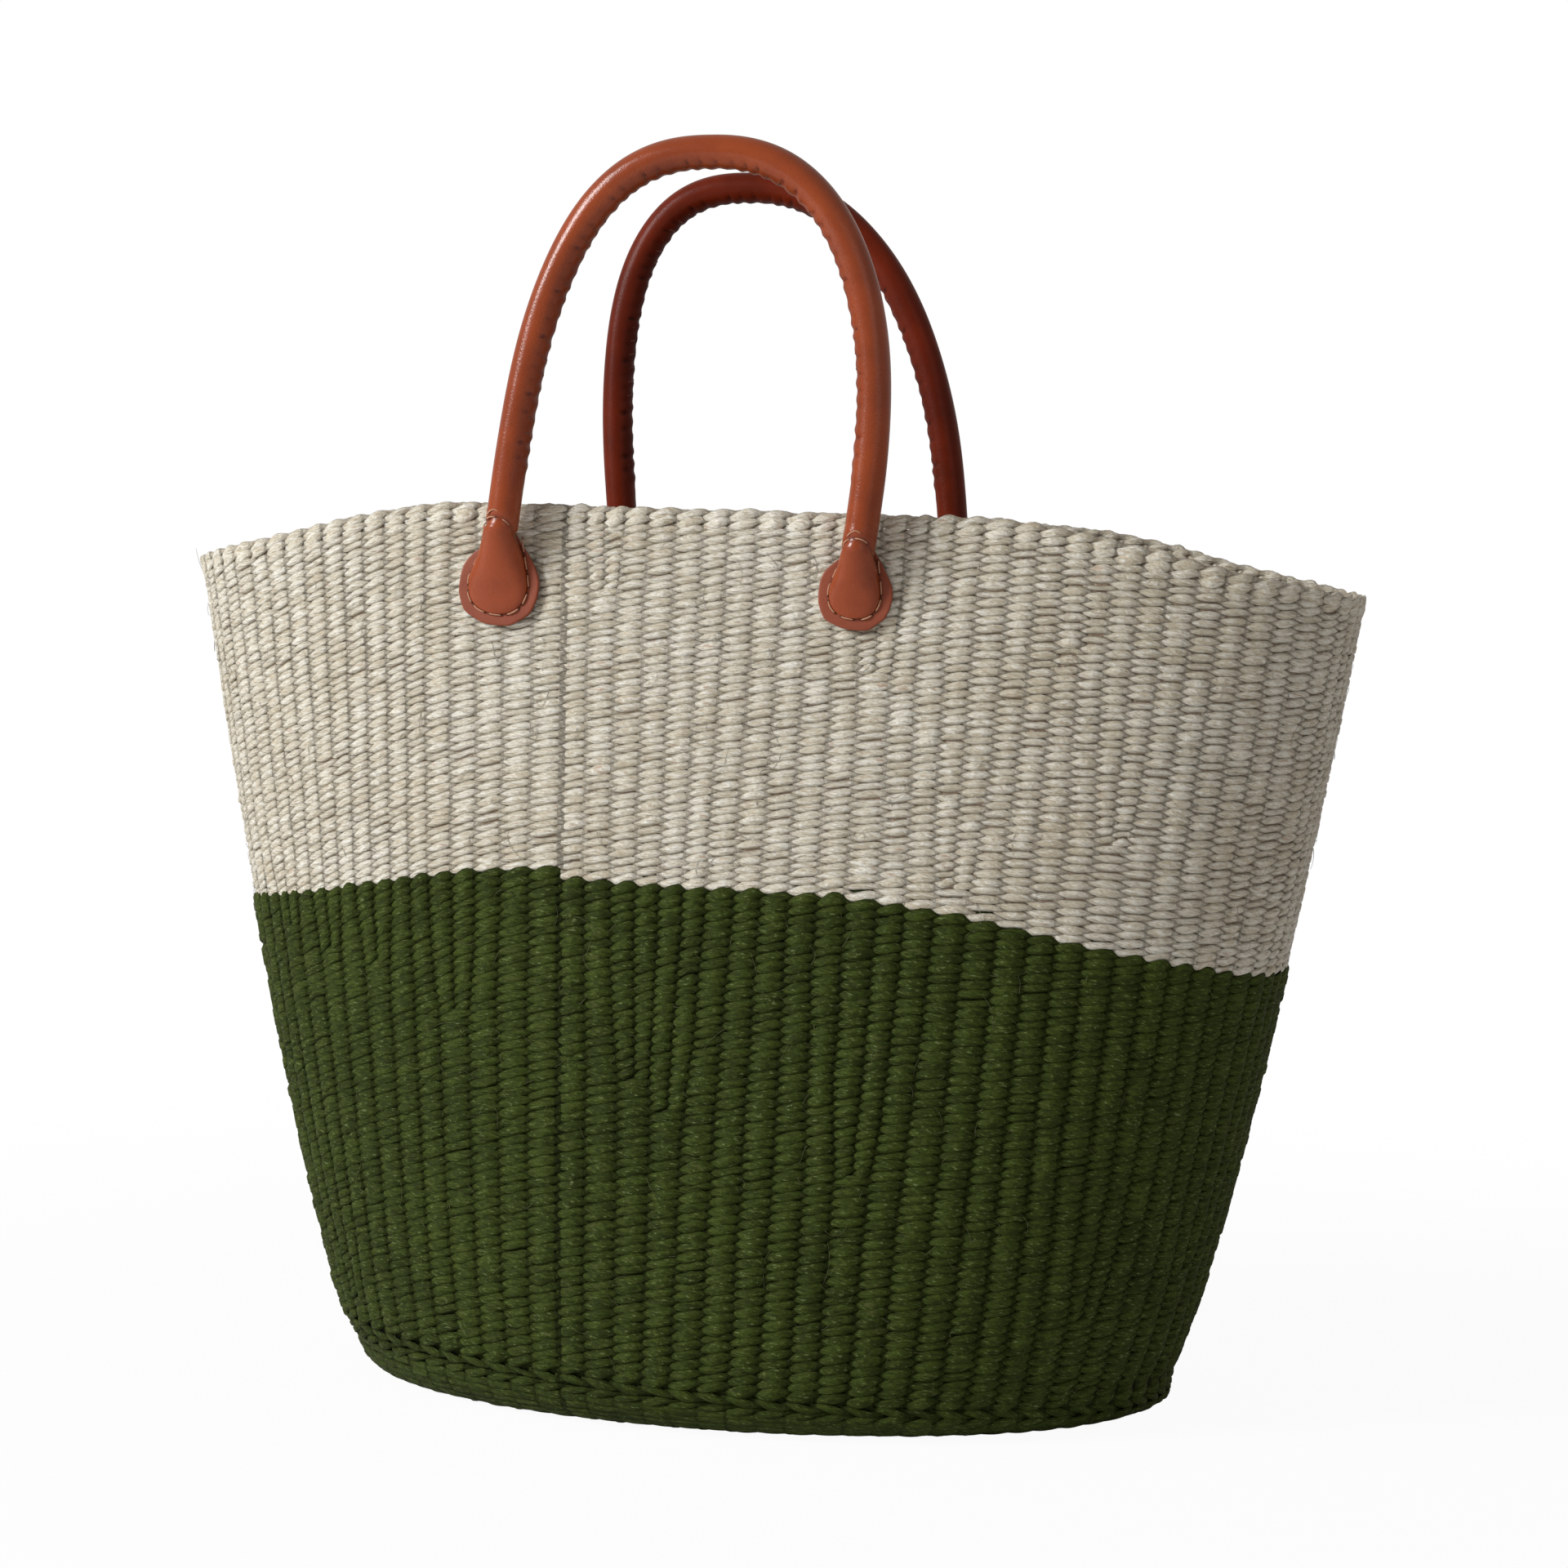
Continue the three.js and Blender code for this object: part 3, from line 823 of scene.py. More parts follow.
# %% [markdown]
# ## The path of a handle
#
# Each handle is a strip of leather rolled round a cord and bent into an arch. At both ends
# the leather opens out: it runs down past the rim, widens into a flat drop and is sewn to a
# patch. Both ends and the arch are one skin here, a single tube from foot to foot, so that the
# leather flows without a seam. It could be swept as a curve, but the section has to change
# from a full circle to a flat drop, and that is easier ring by ring.

# %% Sizes of the handles
gap = 0.3 * mm
tube_radius = 5.8 * mm
handle_height = 119 * mm
arch_squareness = 2.4
hinge_over_rim = 3.5 * mm
patch_thickness = 1.4 * mm
foot_squareness = 2.4
patch_margin = 3.9 * mm
stitch_pinch = 0.55 * mm
pinch_length = 4 * mm
moulded_edge = 1.0 * mm
moulded_fall = 1.4

handle_out = mouth_half_depth + patch_thickness + 2 * gap + tube_radius
hinge_height = rim_line["height"] + hinge_over_rim
arch_samples = 6001

handles = {
    "front": {
        "side": -1,
        "middle": -9.5 * mm,
        "half_span": 64.7 * mm,
        "height": handle_height,
        "lean": 7.6 * mm,
        "lean_bow": 1.0,
    },
    "rear": {
        "side": 1,
        "middle": -17.5 * mm,
        "half_span": 66.5 * mm,
        "height": handle_height + 5.5 * mm,
        "lean": -17 * mm,
        "lean_bow": -0.35,
    },
}
feet = {
    "front_left": {"leg": -1, "patch_width": 30.3, "lower_edge": 278, "stitch_line": 315.5},
    "front_right": {"leg": 1, "patch_width": 26, "lower_edge": 279, "stitch_line": 310},
    "rear_left": {"leg": -1, "patch_width": 28, "lower_edge": 278, "stitch_line": 313},
    "rear_right": {"leg": 1, "patch_width": 28, "lower_edge": 279, "stitch_line": 312},
}


def arch_line(handle, count):
    """Even steps along the middle of an arch, from its left hinge point to its right one."""
    turn = math.pi * (1.0 - np.linspace(0.0, 1.0, arch_samples))
    power = 2.0 / arch_squareness
    across = np.sign(np.cos(turn)) * np.abs(np.cos(turn)) ** power
    rise = np.abs(np.sin(turn)) ** power
    leaning = handle["lean"] * rise * (1.0 + handle["lean_bow"] * (1.0 - rise))
    x = handle["middle"] + handle["half_span"] * across + leaning
    z = hinge_height + handle["height"] * rise
    line = np.stack([x, np.full_like(x, handle["side"] * handle_out), z], axis=-1)
    length = length_along(line)
    even = np.linspace(0.0, length[-1], count)
    points = points_on(line, length, even)
    return points, unit(np.gradient(points, axis=0)), length[-1]


arch_lengths = {name: arch_line(handle, 2)[2] for name, handle in handles.items()}
for name, length in arch_lengths.items():
    print(name, "handle, length of its arch in mm:", round(length / mm, 1))

# %% The place of a foot on the wall
shoulder_curve = 0.45  # 0 narrows a foot evenly up to its neck, and 1 in a full S


def wall_face(x, z, side):
    half_width, half_depth, squareness = oval_size(level_at(z))
    share = (1.0 - np.abs(x / half_width) ** squareness) ** (1.0 / squareness)
    return np.array([x, side * half_depth * share, z])


class Foot:
    """Where a foot sits: its own axes, across, up the wall and out of it, and its sizes."""

    def __init__(self, name):
        facts = feet[name]
        handle = handles[name.split("_")[0]]
        self.name = name
        self.side = handle["side"]
        self.leg = facts["leg"]
        self.x = handle["middle"] + self.leg * handle["half_span"]
        self.root_lean = handle["lean"] * (1.0 + handle["lean_bow"]) / handle["height"]
        self.lower_edge = facts["lower_edge"] * mm
        self.stitch_line = facts["stitch_line"] * mm
        self.patch_half = facts["patch_width"] * mm / 2
        top = height_of(rim_line, self.x) - braid_height - gap
        self.patch_height = top - gap - self.lower_edge
        reach = self.patch_height
        middle, high, low = (
            wall_face(self.x_at(z), z, self.side)
            for z in (self.lower_edge + share * reach for share in (0.5, 1.0, 0.0))
        )
        self.up = unit(high - low)
        sideways = wall_face(middle[0] + reach / 2, middle[2], self.side)
        sideways = -self.side * (sideways - wall_face(middle[0] - reach / 2, middle[2], self.side))
        self.out = unit(np.cross(sideways, self.up))
        self.across = np.cross(self.up, self.out)
        self.origin = middle - self.up * reach / 2
        self.seat = patch_thickness + 2 * gap
        self.half_width = self.patch_half - patch_margin
        self.lowest = patch_margin
        self.widest = self.lowest + self.half_width
        self.shoulder = self.axis_at(self.stitch_line - pinch_length)
        self.highest = self.shoulder[1]

    def x_at(self, z):
        """The foot goes on below the hinge in line with the root of its leg."""
        return self.x + self.root_lean * (z - hinge_height)

    def to_own(self, point):
        away = point - self.origin
        return np.stack([away @ self.across, away @ self.up, away @ self.out], axis=-1)

    def to_bag(self, own):
        own = np.asarray(own)
        axes = enumerate((self.across, self.up, self.out))
        return self.origin + sum(own[..., k, None] * axis for k, axis in axes)

    def axis_at(self, z):
        """The handle's middle at a height, in the foot's own axes, kept clear of the patch."""
        own = self.to_own(np.array([self.x_at(z), self.side * handle_out, z]))
        own[2] = max(own[2], self.seat + tube_radius)
        return own

    def half_at(self, y):
        """Half the width of the moulded end, up the foot."""
        below = np.clip((self.widest - y) / self.half_width, 0.0, 1.0)
        round_end = (1.0 - below**foot_squareness) ** (1.0 / foot_squareness)
        share = np.clip((y - self.widest) / (self.highest - self.widest), 0.0, 1.0)
        narrowing = lerp(share, smoothstep(share, 0.0, 1.0), shoulder_curve)
        above = lerp(self.half_width, tube_radius, narrowing)
        return np.where(y < self.widest, self.half_width * round_end, above)


foot_places = {name: Foot(name) for name in feet}
for foot in foot_places.values():
    print(foot.name, "stands at", (foot.origin / mm).round(1).tolist())

# %% The skin of a handle
seam_pitch = 5.5 * mm
ring_step = 0.85 * mm
neck_step = 0.7 * mm
neck_end = 0.5 * mm  # below the hinge, where the arch takes over
round_end_rings = 12
upper_foot_rings = 18
flat_from = 0.4  # share of the foot's height over which its back grows flat


class Skin:
    """The rings of a leather tube that is round along the arch and flat at the back of a foot."""

    def __init__(self):
        self.rings = []

    def add(self, origin, across, out, half, front, back, flat, seat):
        self.rings.append((*origin, *across, *out, half, front, back, flat, seat))

    def finish(self):
        data = np.array(self.rings)
        self.middles, self.across, self.out = data[:, 0:3], data[:, 3:6], data[:, 6:9]
        self.half, self.front, self.back, self.flat, self.seat = data[:, 9:].T
        self.along = length_along(self.middles)


def foot_rings(foot):
    """Rings of one moulded end, from its lower edge up to the hinge."""
    rings = []
    front_top, back_top = foot.shoulder[2] + tube_radius, foot.shoulder[2] - tube_radius
    turns = np.radians(np.linspace(89.0, 0.0, round_end_rings))
    lower = lerp(foot.widest, foot.lowest, np.sin(turns))
    upper = np.linspace(foot.widest, foot.highest, upper_foot_rings)[1:]
    for y in np.concatenate([lower, upper]):
        fall = (foot.highest - y) / (foot.highest - foot.lowest)
        flat = smoothstep(fall, 0.0, flat_from)
        back = lerp(back_top, foot.seat, flat)
        rise = lerp(moulded_edge, front_top - foot.seat, (1.0 - fall) ** moulded_fall)
        axes = (foot.to_bag([0.0, y, 0.0]), foot.across, foot.out)
        rings.append((*axes, foot.half_at(y), foot.seat + rise, back, flat, foot.seat))
    leg_out = np.array([0.0, foot.side, 0.0])
    leg_across = np.cross(unit(np.array([foot.root_lean, 0.0, 1.0])), leg_out)
    radius = tube_radius
    neck_heights = (foot.stitch_line - pinch_length, hinge_height - neck_end, neck_step)
    for z in np.arange(*neck_heights)[1:]:
        share = smoothstep(z, foot.stitch_line, hinge_height)
        across = unit(lerp(foot.across, leg_across, share))
        out = unit(lerp(foot.out, leg_out, share))
        middle = foot.to_bag(foot.axis_at(z))
        rings.append((middle, across, out, radius, radius, -radius, 0.0, -radius))
    if foot.leg > 0:
        rings = [(r[0], -r[1], *r[2:]) for r in rings[::-1]]
    return rings


def handle_skin(name):
    handle = handles[name]
    side = handle["side"]
    skin = Skin()
    for ring in foot_rings(foot_places[name + "_left"]):
        skin.add(*ring)
    points, tangents, _ = arch_line(handle, int(arch_lengths[name] / ring_step))
    out = np.array([0.0, side, 0.0])
    skin.arch_start = len(skin.rings)
    for point, tangent in zip(points, tangents):
        across = np.cross(tangent, out)
        skin.add(point, across, out, tube_radius, tube_radius, -tube_radius, 0.0, -tube_radius)
    skin.arch_end = len(skin.rings)
    for ring in foot_rings(foot_places[name + "_right"]):
        skin.add(*ring)
    skin.finish()
    return skin


# %% [markdown]
# ### The laced seam
#
# The edges of the rolled leather meet on the inner side of the arch, where a lace draws them
# together stitch by stitch. Between two stitches the leather puckers up, and at each one it is
# pulled in to a small hole. In sculpt mode these would be pressed in one by one.
# Here the radius of every ring is a sum of smooth bumps: a low ridge, its puckers, the holes
# and faint creases. The holes and a band along the seam also get painted shade.

# %% Relief of the seam
seam_ridge = 0.25 * mm
ridge_spread = 0.75  # in radians, like the next four
pucker_spread = 0.5
shade_spread = 0.9
seam_hole_angle = 0.78  # from the seam
seam_hole_spread = 0.17
least_pucker, more_pucker = 0.12, 0.22  # in mm
seam_hole_depth = 0.6 * mm
crease_height = 0.10 * mm
crease_pitch = 9 * mm
seam_start = 2 * mm  # from the root of the arch
seam_full = 12 * mm


def seam_relief(from_arch, to_end, angle):
    """Change of the radius, and painted shade, at an angle from the seam along the arch."""
    laced = smoothstep(np.minimum(from_arch, to_end), seam_start, seam_full)
    beat = 2.0 * math.pi * from_arch / seam_pitch
    jitter = 0.7 * np.sin(beat * 0.217 + 1.3) + 0.4 * np.sin(beat * 0.131)
    pucker = np.cos(beat + jitter)
    ridge = seam_ridge * np.exp(-((angle / ridge_spread) ** 2))
    unlike = np.clip(0.6 + 0.4 * np.sin(beat * 0.29 + 2.0) + 0.35 * np.sin(beat * 0.61), 0.1, 1.2)
    height = (least_pucker + more_pucker * unlike) * mm
    scallop = height * pucker * np.exp(-((angle / pucker_spread) ** 2))
    holes = 0.0
    for place in (-seam_hole_angle, seam_hole_angle):
        pit = np.exp(-(((angle - place) / seam_hole_spread) ** 2))
        pit = pit * np.clip(-pucker, 0, 1) ** 3
        holes = holes + unlike * pit
    creases = crease_height * np.sin(from_arch / crease_pitch + 2.0 * np.sin(3.0 * angle))
    radius = laced * (ridge + scallop - seam_hole_depth * holes + 0.3 * creases) + 0.3 * creases
    return radius, laced * (0.8 * holes + 0.5 * np.exp(-((angle / shade_spread) ** 2)))


# %% Leather handles
skin_sides = 32
dome_power = 0.85  # below 1, the moulded end is fuller towards its edge
crossing_drop = 5.5 * mm
crossing_power = 1.2
pinch_spread = 1.3 * mm
pinch_reach = 20 * mm  # to both sides of a leg
pinch_back = -0.4  # where the pinch ends, behind the sides of the neck
pinch_shade = 0.6


def crossing_fall(front):
    """How far the stitches over the neck of a foot drop from its front towards its sides."""
    return crossing_drop * (1.0 - np.clip(front, 0.0, 1.0)) ** crossing_power


def neck_pinch(name, places, front):
    """1 where the stitches over a neck draw the leather in, and 0 away from them."""
    pinch = np.zeros(len(places))
    for leg in ("left", "right"):
        foot = foot_places[f"{name}_{leg}"]
        own = foot.to_own(places)
        line = foot.axis_at(foot.stitch_line)[1] - crossing_fall(front)
        near = np.abs(places[:, 0] - foot.x) < pinch_reach
        fade = np.exp(-(((own[:, 1] - line) / pinch_spread) ** 2))
        pinch += near * fade * (front > pinch_back)
    return pinch


def leather_handle(name):
    skin = handle_skin(name)
    side = handles[name]["side"]
    mesh, _, straight = straight_tubes([len(skin.middles)], skin_sides, True)
    x, y, z = straight.T
    ring = np.rint((z + 1.0) / 2.0 * (len(skin.middles) - 1)).astype(int)
    round_out = (skin.front + skin.back)[ring] / 2 + (skin.front - skin.back)[ring] / 2 * y
    dome = np.clip(y, 0.0, 1.0) ** dome_power
    domed = skin.seat[ring] + (skin.front - skin.seat)[ring] * dome
    out = lerp(round_out, domed, skin.flat[ring])

    from_arch = skin.along[ring] - skin.along[skin.arch_start]
    to_end = skin.along[skin.arch_end - 1] - skin.along[ring]
    radius, seam_shade = seam_relief(from_arch, to_end, np.arctan2(y, -side * x))
    radius = radius * (1.0 - skin.flat[ring])
    places = skin.middles[ring]
    pinch = neck_pinch(name, places, y)
    radius = radius - stitch_pinch * pinch
    half = skin.half[ring] + radius
    out = out + radius * y
    places = places + skin.across[ring] * (half * x)[:, None]
    places = places + skin.out[ring] * out[:, None]
    mesh.vertices.foreach_set("co", places.ravel())
    # Painted shade along the seam, in its holes and in the pinched crease at each neck.
    store(mesh, "dark", np.clip(seam_shade + pinch_shade * pinch, 0.0, 1.0))
    print(name, "handle leather has", len(skin.middles), "rings")
    return close_tubes(name + "_handle_leather", mesh), skin


handle_leather = {name: leather_handle(name) for name in handles}


# %% [markdown]
# ### Lacing
#
# The lace itself is a thin brown cord. Each stitch crosses the seam at a slant, from a hole
# on one side to one further along on the other.

# %% Lacing stitches
lace_margin = 14 * mm  # bare leather at both roots of the arch
lace_angle = 0.85  # radians from the seam to the ends of a stitch
lace_slant = 0.22
lace_points = 7
lace_rise = 0.1 * mm
lace_dive = 0.8 * mm  # of both ends of a stitch, into the leather
lace_half_height = 0.3 * mm
lace_half_width = 0.42 * mm


def lacing(name):
    skin = handle_leather[name][1]
    side = handles[name]["side"]
    start, end = skin.along[skin.arch_start], skin.along[skin.arch_end - 1]
    tubes = []
    first = start + lace_margin
    share = np.linspace(0.0, 1.0, lace_points)
    angle = lerp(-lace_angle, lace_angle, share)
    for number in range(int((end - start - 2 * lace_margin) / seam_pitch)):
        along = first + (number + 0.5 + lerp(-lace_slant, lace_slant, share)) * seam_pitch
        at = np.interp(along, skin.along, np.arange(len(skin.along)))
        low = np.floor(at).astype(int)
        middle = lerp(skin.middles[low], skin.middles[low + 1], (at - low)[:, None])
        across, out = skin.across[low], skin.out[low]
        away = across * (-side * np.cos(angle))[:, None] + out * np.sin(angle)[:, None]
        radius = tube_radius + lace_rise - lace_dive * np.abs(2.0 * share - 1.0) ** 4
        points = middle + away * radius[:, None]
        path = unit(np.gradient(points, axis=0))
        tubes.append(Tube(points, away, np.cross(path, away), lace_half_height, lace_half_width))
    return lay_tubes(name + "_lace_stitches", tubes, 6, capped=True)


lace_stitches = {name: lacing(name) for name in handles}

# %% [markdown]
# ## Patches and sewing
#
# A patch is a drop of thin leather, cut by hand, so its edge waves a little. It starts as a
# disc whose rim is moved to the outline of the patch. Extruding it gives the thickness, and a
# bevel rounds the cut edge.

# %% Leather patches
patch_corners = 88
neck_share = 0.42  # of the width of a patch
neck_reached = 0.95  # about the share of the way up at which it has narrowed to that
patch_top_gap = 1.5 * mm
cut_wave = 0.15 * mm
cut_bevel = 0.42 * mm
lid_inset = 0.5 * mm


def patch_piece(foot):
    half = foot.patch_half
    reach = foot.patch_height - half - patch_top_gap
    power = 2.0 / foot_squareness
    work = bmesh.new()
    bmesh.ops.create_circle(work, cap_ends=True, segments=patch_corners, radius=1.0)
    phase = chance.uniform(0.0, 6.0, 3)
    for vert in work.verts:
        turn = math.atan2(vert.co.y, vert.co.x)
        across, along = math.cos(turn), math.sin(turn)
        cut = cut_wave * (math.sin(6 * turn + phase[0]) + 0.7 * math.sin(11 * turn + phase[1]))
        upwards = reach if along > 0.0 else half
        narrow = lerp(1.0, neck_share, smoothstep(max(along, 0.0), 0.0, neck_reached))
        x = narrow * (half + cut) * math.copysign(abs(across) ** power, across)
        y = half + (upwards + cut) * math.copysign(abs(along) ** power, along)
        vert.co = (x, y, gap)
    top = bmesh.ops.extrude_face_region(work, geom=list(work.faces))["geom"]
    raised = [item for item in top if isinstance(item, bmesh.types.BMVert)]
    bmesh.ops.translate(work, verts=raised, vec=(0.0, 0.0, patch_thickness))
    bmesh.ops.recalc_face_normals(work, faces=work.faces)
    rims = [e for e in work.edges if abs(e.verts[0].co.z - e.verts[1].co.z) < 0.1 * mm]
    bmesh.ops.bevel(
        work, geom=rims, offset=cut_bevel, segments=3, affect="EDGES", profile=0.5, material=-1
    )
    lids = [face for face in work.faces if len(face.verts) > 20]
    bmesh.ops.inset_region(work, faces=lids, thickness=lid_inset, use_even_offset=True)
    place = Matrix.Identity(4)
    for column, axis in enumerate((foot.across, foot.up, foot.out, foot.origin)):
        for line in range(3):
            place[line][column] = axis[line]
    bmesh.ops.transform(work, matrix=place, verts=work.verts)
    return make_piece(foot.name + "_leather_patch", work)


patches = {name: patch_piece(foot) for name, foot in foot_places.items()}
for name, patch in patches.items():
    print(name, "patch has", len(patch.data.polygons), "faces")

# %% [markdown]
# The end of the handle is sewn through its patch with a running stitch: a length of thread on
# top, a hole, a short way underneath, and up again. The same thread crosses over the handle
# at its neck. Each visible length is a small tube that dives into the leather at both ends,
# beside a dark hole.

# %% Sewing thread
thread_radius = 0.27 * mm
stitch_length = 4.6 * mm
length_spread = (0.9, 1.1)
stitch_step = 6.6 * mm
step_spread = (0.93, 1.07)
stitch_points = 9
stitch_arch = 0.30 * mm
stitch_root = 0.25 * mm  # how deep the lower side of a stitch is at both ends
stitch_taper = 0.35
stitch_clear = 0.25 * mm  # from the stitches to the moulded end
first_stitch = 1.5 * mm
side_points = 30
neck_points = 40
neck_turns = (176.0, 4.0)  # degrees, from the left of the neck to its right
hole_size = (0.5 * mm, 0.42 * mm, 0.2 * mm, 1.0)


def sewing_line(foot):
    """The line of the stitches round a moulded end, up over the neck, and its outward side."""
    straight = np.linspace(foot.highest, foot.widest, side_points)
    round_turn = np.radians(np.linspace(0.0, 90.0, side_points))
    rounded = lerp(foot.widest, foot.lowest, np.sin(round_turn))
    y = np.concatenate([straight, rounded[1:]])
    half = foot.half_at(y) + stitch_clear
    lowered = y - stitch_clear * (y < foot.widest)
    right = np.stack([half, lowered, np.full_like(y, foot.seat)], axis=-1)
    left = right[::-1] * np.array([-1.0, 1.0, 1.0])
    neck_turn = np.radians(np.linspace(*neck_turns, neck_points))
    neck = foot.axis_at(foot.stitch_line)
    radius = tube_radius - stitch_pinch
    crossing = np.stack(
        [
            radius * np.cos(neck_turn),
            neck[1] - crossing_fall(np.sin(neck_turn)),
            neck[2] + radius * np.sin(neck_turn),
        ],
        axis=-1,
    )
    own = np.concatenate([right, left[1:], crossing])
    away = np.tile([0.0, 0.0, 1.0], (len(own), 1))
    away[-neck_points:] = np.stack([np.cos(neck_turn), 0 * neck_turn, np.sin(neck_turn)], axis=-1)
    outwards = away @ np.stack([foot.across, foot.up, foot.out])
    return foot.to_bag(own), outwards


# %% The knot at the neck
knot_turns = (128.0, 78.0)  # degrees round the neck
knot_depths = (0.1, -0.25)  # at its start and its end, in mm out of the leather
knot_start, knot_height, knot_wave = 0.4, 2.1, 2.4  # the first two in mm, the last in radians


def knot_loop(foot):
    """The thread comes up once more above the crossing and goes down in the middle."""
    share = np.linspace(0.0, 1.0, stitch_points)
    turn = np.radians(lerp(*knot_turns, share))
    neck = foot.axis_at(foot.stitch_line)
    radius = tube_radius + lerp(*knot_depths, share**4) * mm
    rise = (knot_start + knot_height * np.sin(share * knot_wave)) * mm
    own = np.stack(
        [radius * np.cos(turn), neck[1] + rise, neck[2] + radius * np.sin(turn)], axis=-1
    )
    away = np.stack([np.cos(turn), 0 * turn, np.sin(turn)], axis=-1)
    away = away @ np.stack([foot.across, foot.up, foot.out])
    points = foot.to_bag(own)
    path = unit(np.gradient(points, axis=0))
    return Tube(points, away, np.cross(path, away), thread_radius, thread_radius)


# %% Sew the feet
def sewing(foot):
    line, outwards = sewing_line(foot)
    length = length_along(line)
    tubes, holes = [], []
    at = first_stitch
    while at + stitch_length < length[-1]:
        long = stitch_length * chance.uniform(*length_spread)
        share = np.linspace(0.0, 1.0, stitch_points)
        along = at + share * long
        points = points_on(line, length, along)
        away = unit(points_on(outwards, length, along))
        arch = stitch_arch * (1.0 - np.abs(2.0 * share - 1.0) ** 3) - stitch_root
        path = unit(np.gradient(points, axis=0))
        holes += [(points[0], away[0], path[0]), (points[-1], away[-1], path[-1])]
        points = points + away * (arch + thread_radius)[:, None]
        size = thread_radius * (1.0 - stitch_taper * np.abs(2.0 * share - 1.0) ** 6)
        tubes.append(Tube(points, away, np.cross(path, away), size, size * 1.05))
        at += stitch_step * chance.uniform(*step_spread)
    knot = knot_loop(foot)
    tubes.append(knot)
    holes.append((knot.middles[-1], knot.outwards[-1], unit(knot.middles[-1] - knot.middles[-2])))
    thread = lay_tubes(foot.name + "_stitches", tubes, 6, capped=True)
    work = bmesh.new()
    for point, away, path in holes:
        basis = Matrix((path, np.cross(away, path), away)).transposed().to_4x4()
        place = Matrix.Translation(point) @ basis @ Matrix.Diagonal(hole_size)
        bmesh.ops.create_uvsphere(work, u_segments=8, v_segments=4, radius=1.0, matrix=place)
    return thread, make_piece(foot.name + "_needle_holes", work)


sewn = {name: sewing(foot) for name, foot in foot_places.items()}

# %% [markdown]
# ## Materials
#
# Shader maths reads best as plain expressions, so a small class wraps a socket and lets
# Python's operators add the Math nodes. One method adds any other node.

# %% A small language for nodes
class Value:
    """A socket of a material's node tree. Operators on it add Math nodes."""

    def __init__(self, tree, socket):
        self.tree = tree
        self.socket = socket

    def node(self, kind, settings=None, outlet=0, **inputs):
        return add_node(self.tree, kind, settings, outlet, **inputs)

    def maths(self, operation, *others):
        node = self.tree.nodes.new("ShaderNodeMath")
        node.operation = operation
        for place, value in enumerate(others):
            connect(self.tree, node.inputs[place], value)
        return Value(self.tree, node.outputs[0])

    def __add__(self, other):
        return self.maths("ADD", self, other)

    def __radd__(self, other):
        return self.maths("ADD", other, self)

    def __sub__(self, other):
        return self.maths("SUBTRACT", self, other)

    def __rsub__(self, other):
        return self.maths("SUBTRACT", other, self)

    def __mul__(self, other):
        return self.maths("MULTIPLY", self, other)

    def __rmul__(self, other):
        return self.maths("MULTIPLY", other, self)

    def between(self, low, high):
        """0 below low, 1 above high, and smooth in between."""
        settings = {"interpolation_type": "SMOOTHSTEP"}
        return self.node("MapRange", settings, **{"Value": self, "From Min": low, "From Max": high})


def connect(tree, socket, value):
    if isinstance(value, Value):
        tree.links.new(value.socket, socket)
    elif isinstance(value, (tuple, list)) and socket.type == "RGBA" and len(value) == 3:
        socket.default_value = (*value, 1.0)
    else:
        socket.default_value = value


def add_node(tree, kind, settings=None, outlet=0, **inputs):
    """Adds a node, sets its settings first and then its sockets, and gives one outlet."""
    node = tree.nodes.new("ShaderNode" + kind)
    for name, value in (settings or {}).items():
        setattr(node, name, value)
    for name, value in inputs.items():
        connect(tree, node.inputs[int(name[1:]) if name[0] == "_" else name], value)
    return Value(tree, node.outputs[outlet])


def mix_colours(tree, share, first, second, how="MIX"):
    settings = {"data_type": "RGBA", "blend_type": how}
    return add_node(tree, "Mix", settings, 2, _0=share, _6=first, _7=second)


def stored(tree, name, outlet=2):
    """A number that a piece stores in its points, or a vector from outlet 1."""
    return add_node(tree, "Attribute", {"attribute_name": name}, outlet)


def object_place(tree):
    return add_node(tree, "TexCoord", outlet=3)


def noise(tree, vector, scale, detail=2.0, roughness=0.6):
    sockets = {"Vector": vector, "Scale": scale, "Detail": detail, "Roughness": roughness}
    return add_node(tree, "TexNoise", **sockets)


def wire_surface(tree, shader, colour, roughness, height, strength, depth):
    """Wires what varies over a surface: its colour, its roughness and its relief."""
    connect(tree, shader.inputs["Base Color"], colour)
    connect(tree, shader.inputs["Roughness"], roughness)
    bump = add_node(tree, "Bump", Height=height, Strength=strength, Distance=depth)
    connect(tree, shader.inputs["Normal"], bump)


def new_material(name, **constants):
    """A material with one Principled shader whose constants are set on its own sockets."""
    material = bpy.data.materials.new(name)
    material.use_nodes = True
    tree = material.node_tree
    shader = tree.nodes["Principled BSDF"]
    for socket, value in constants.items():
        shader.inputs[socket.replace("_", " ")].default_value = value
    return material, tree, shader
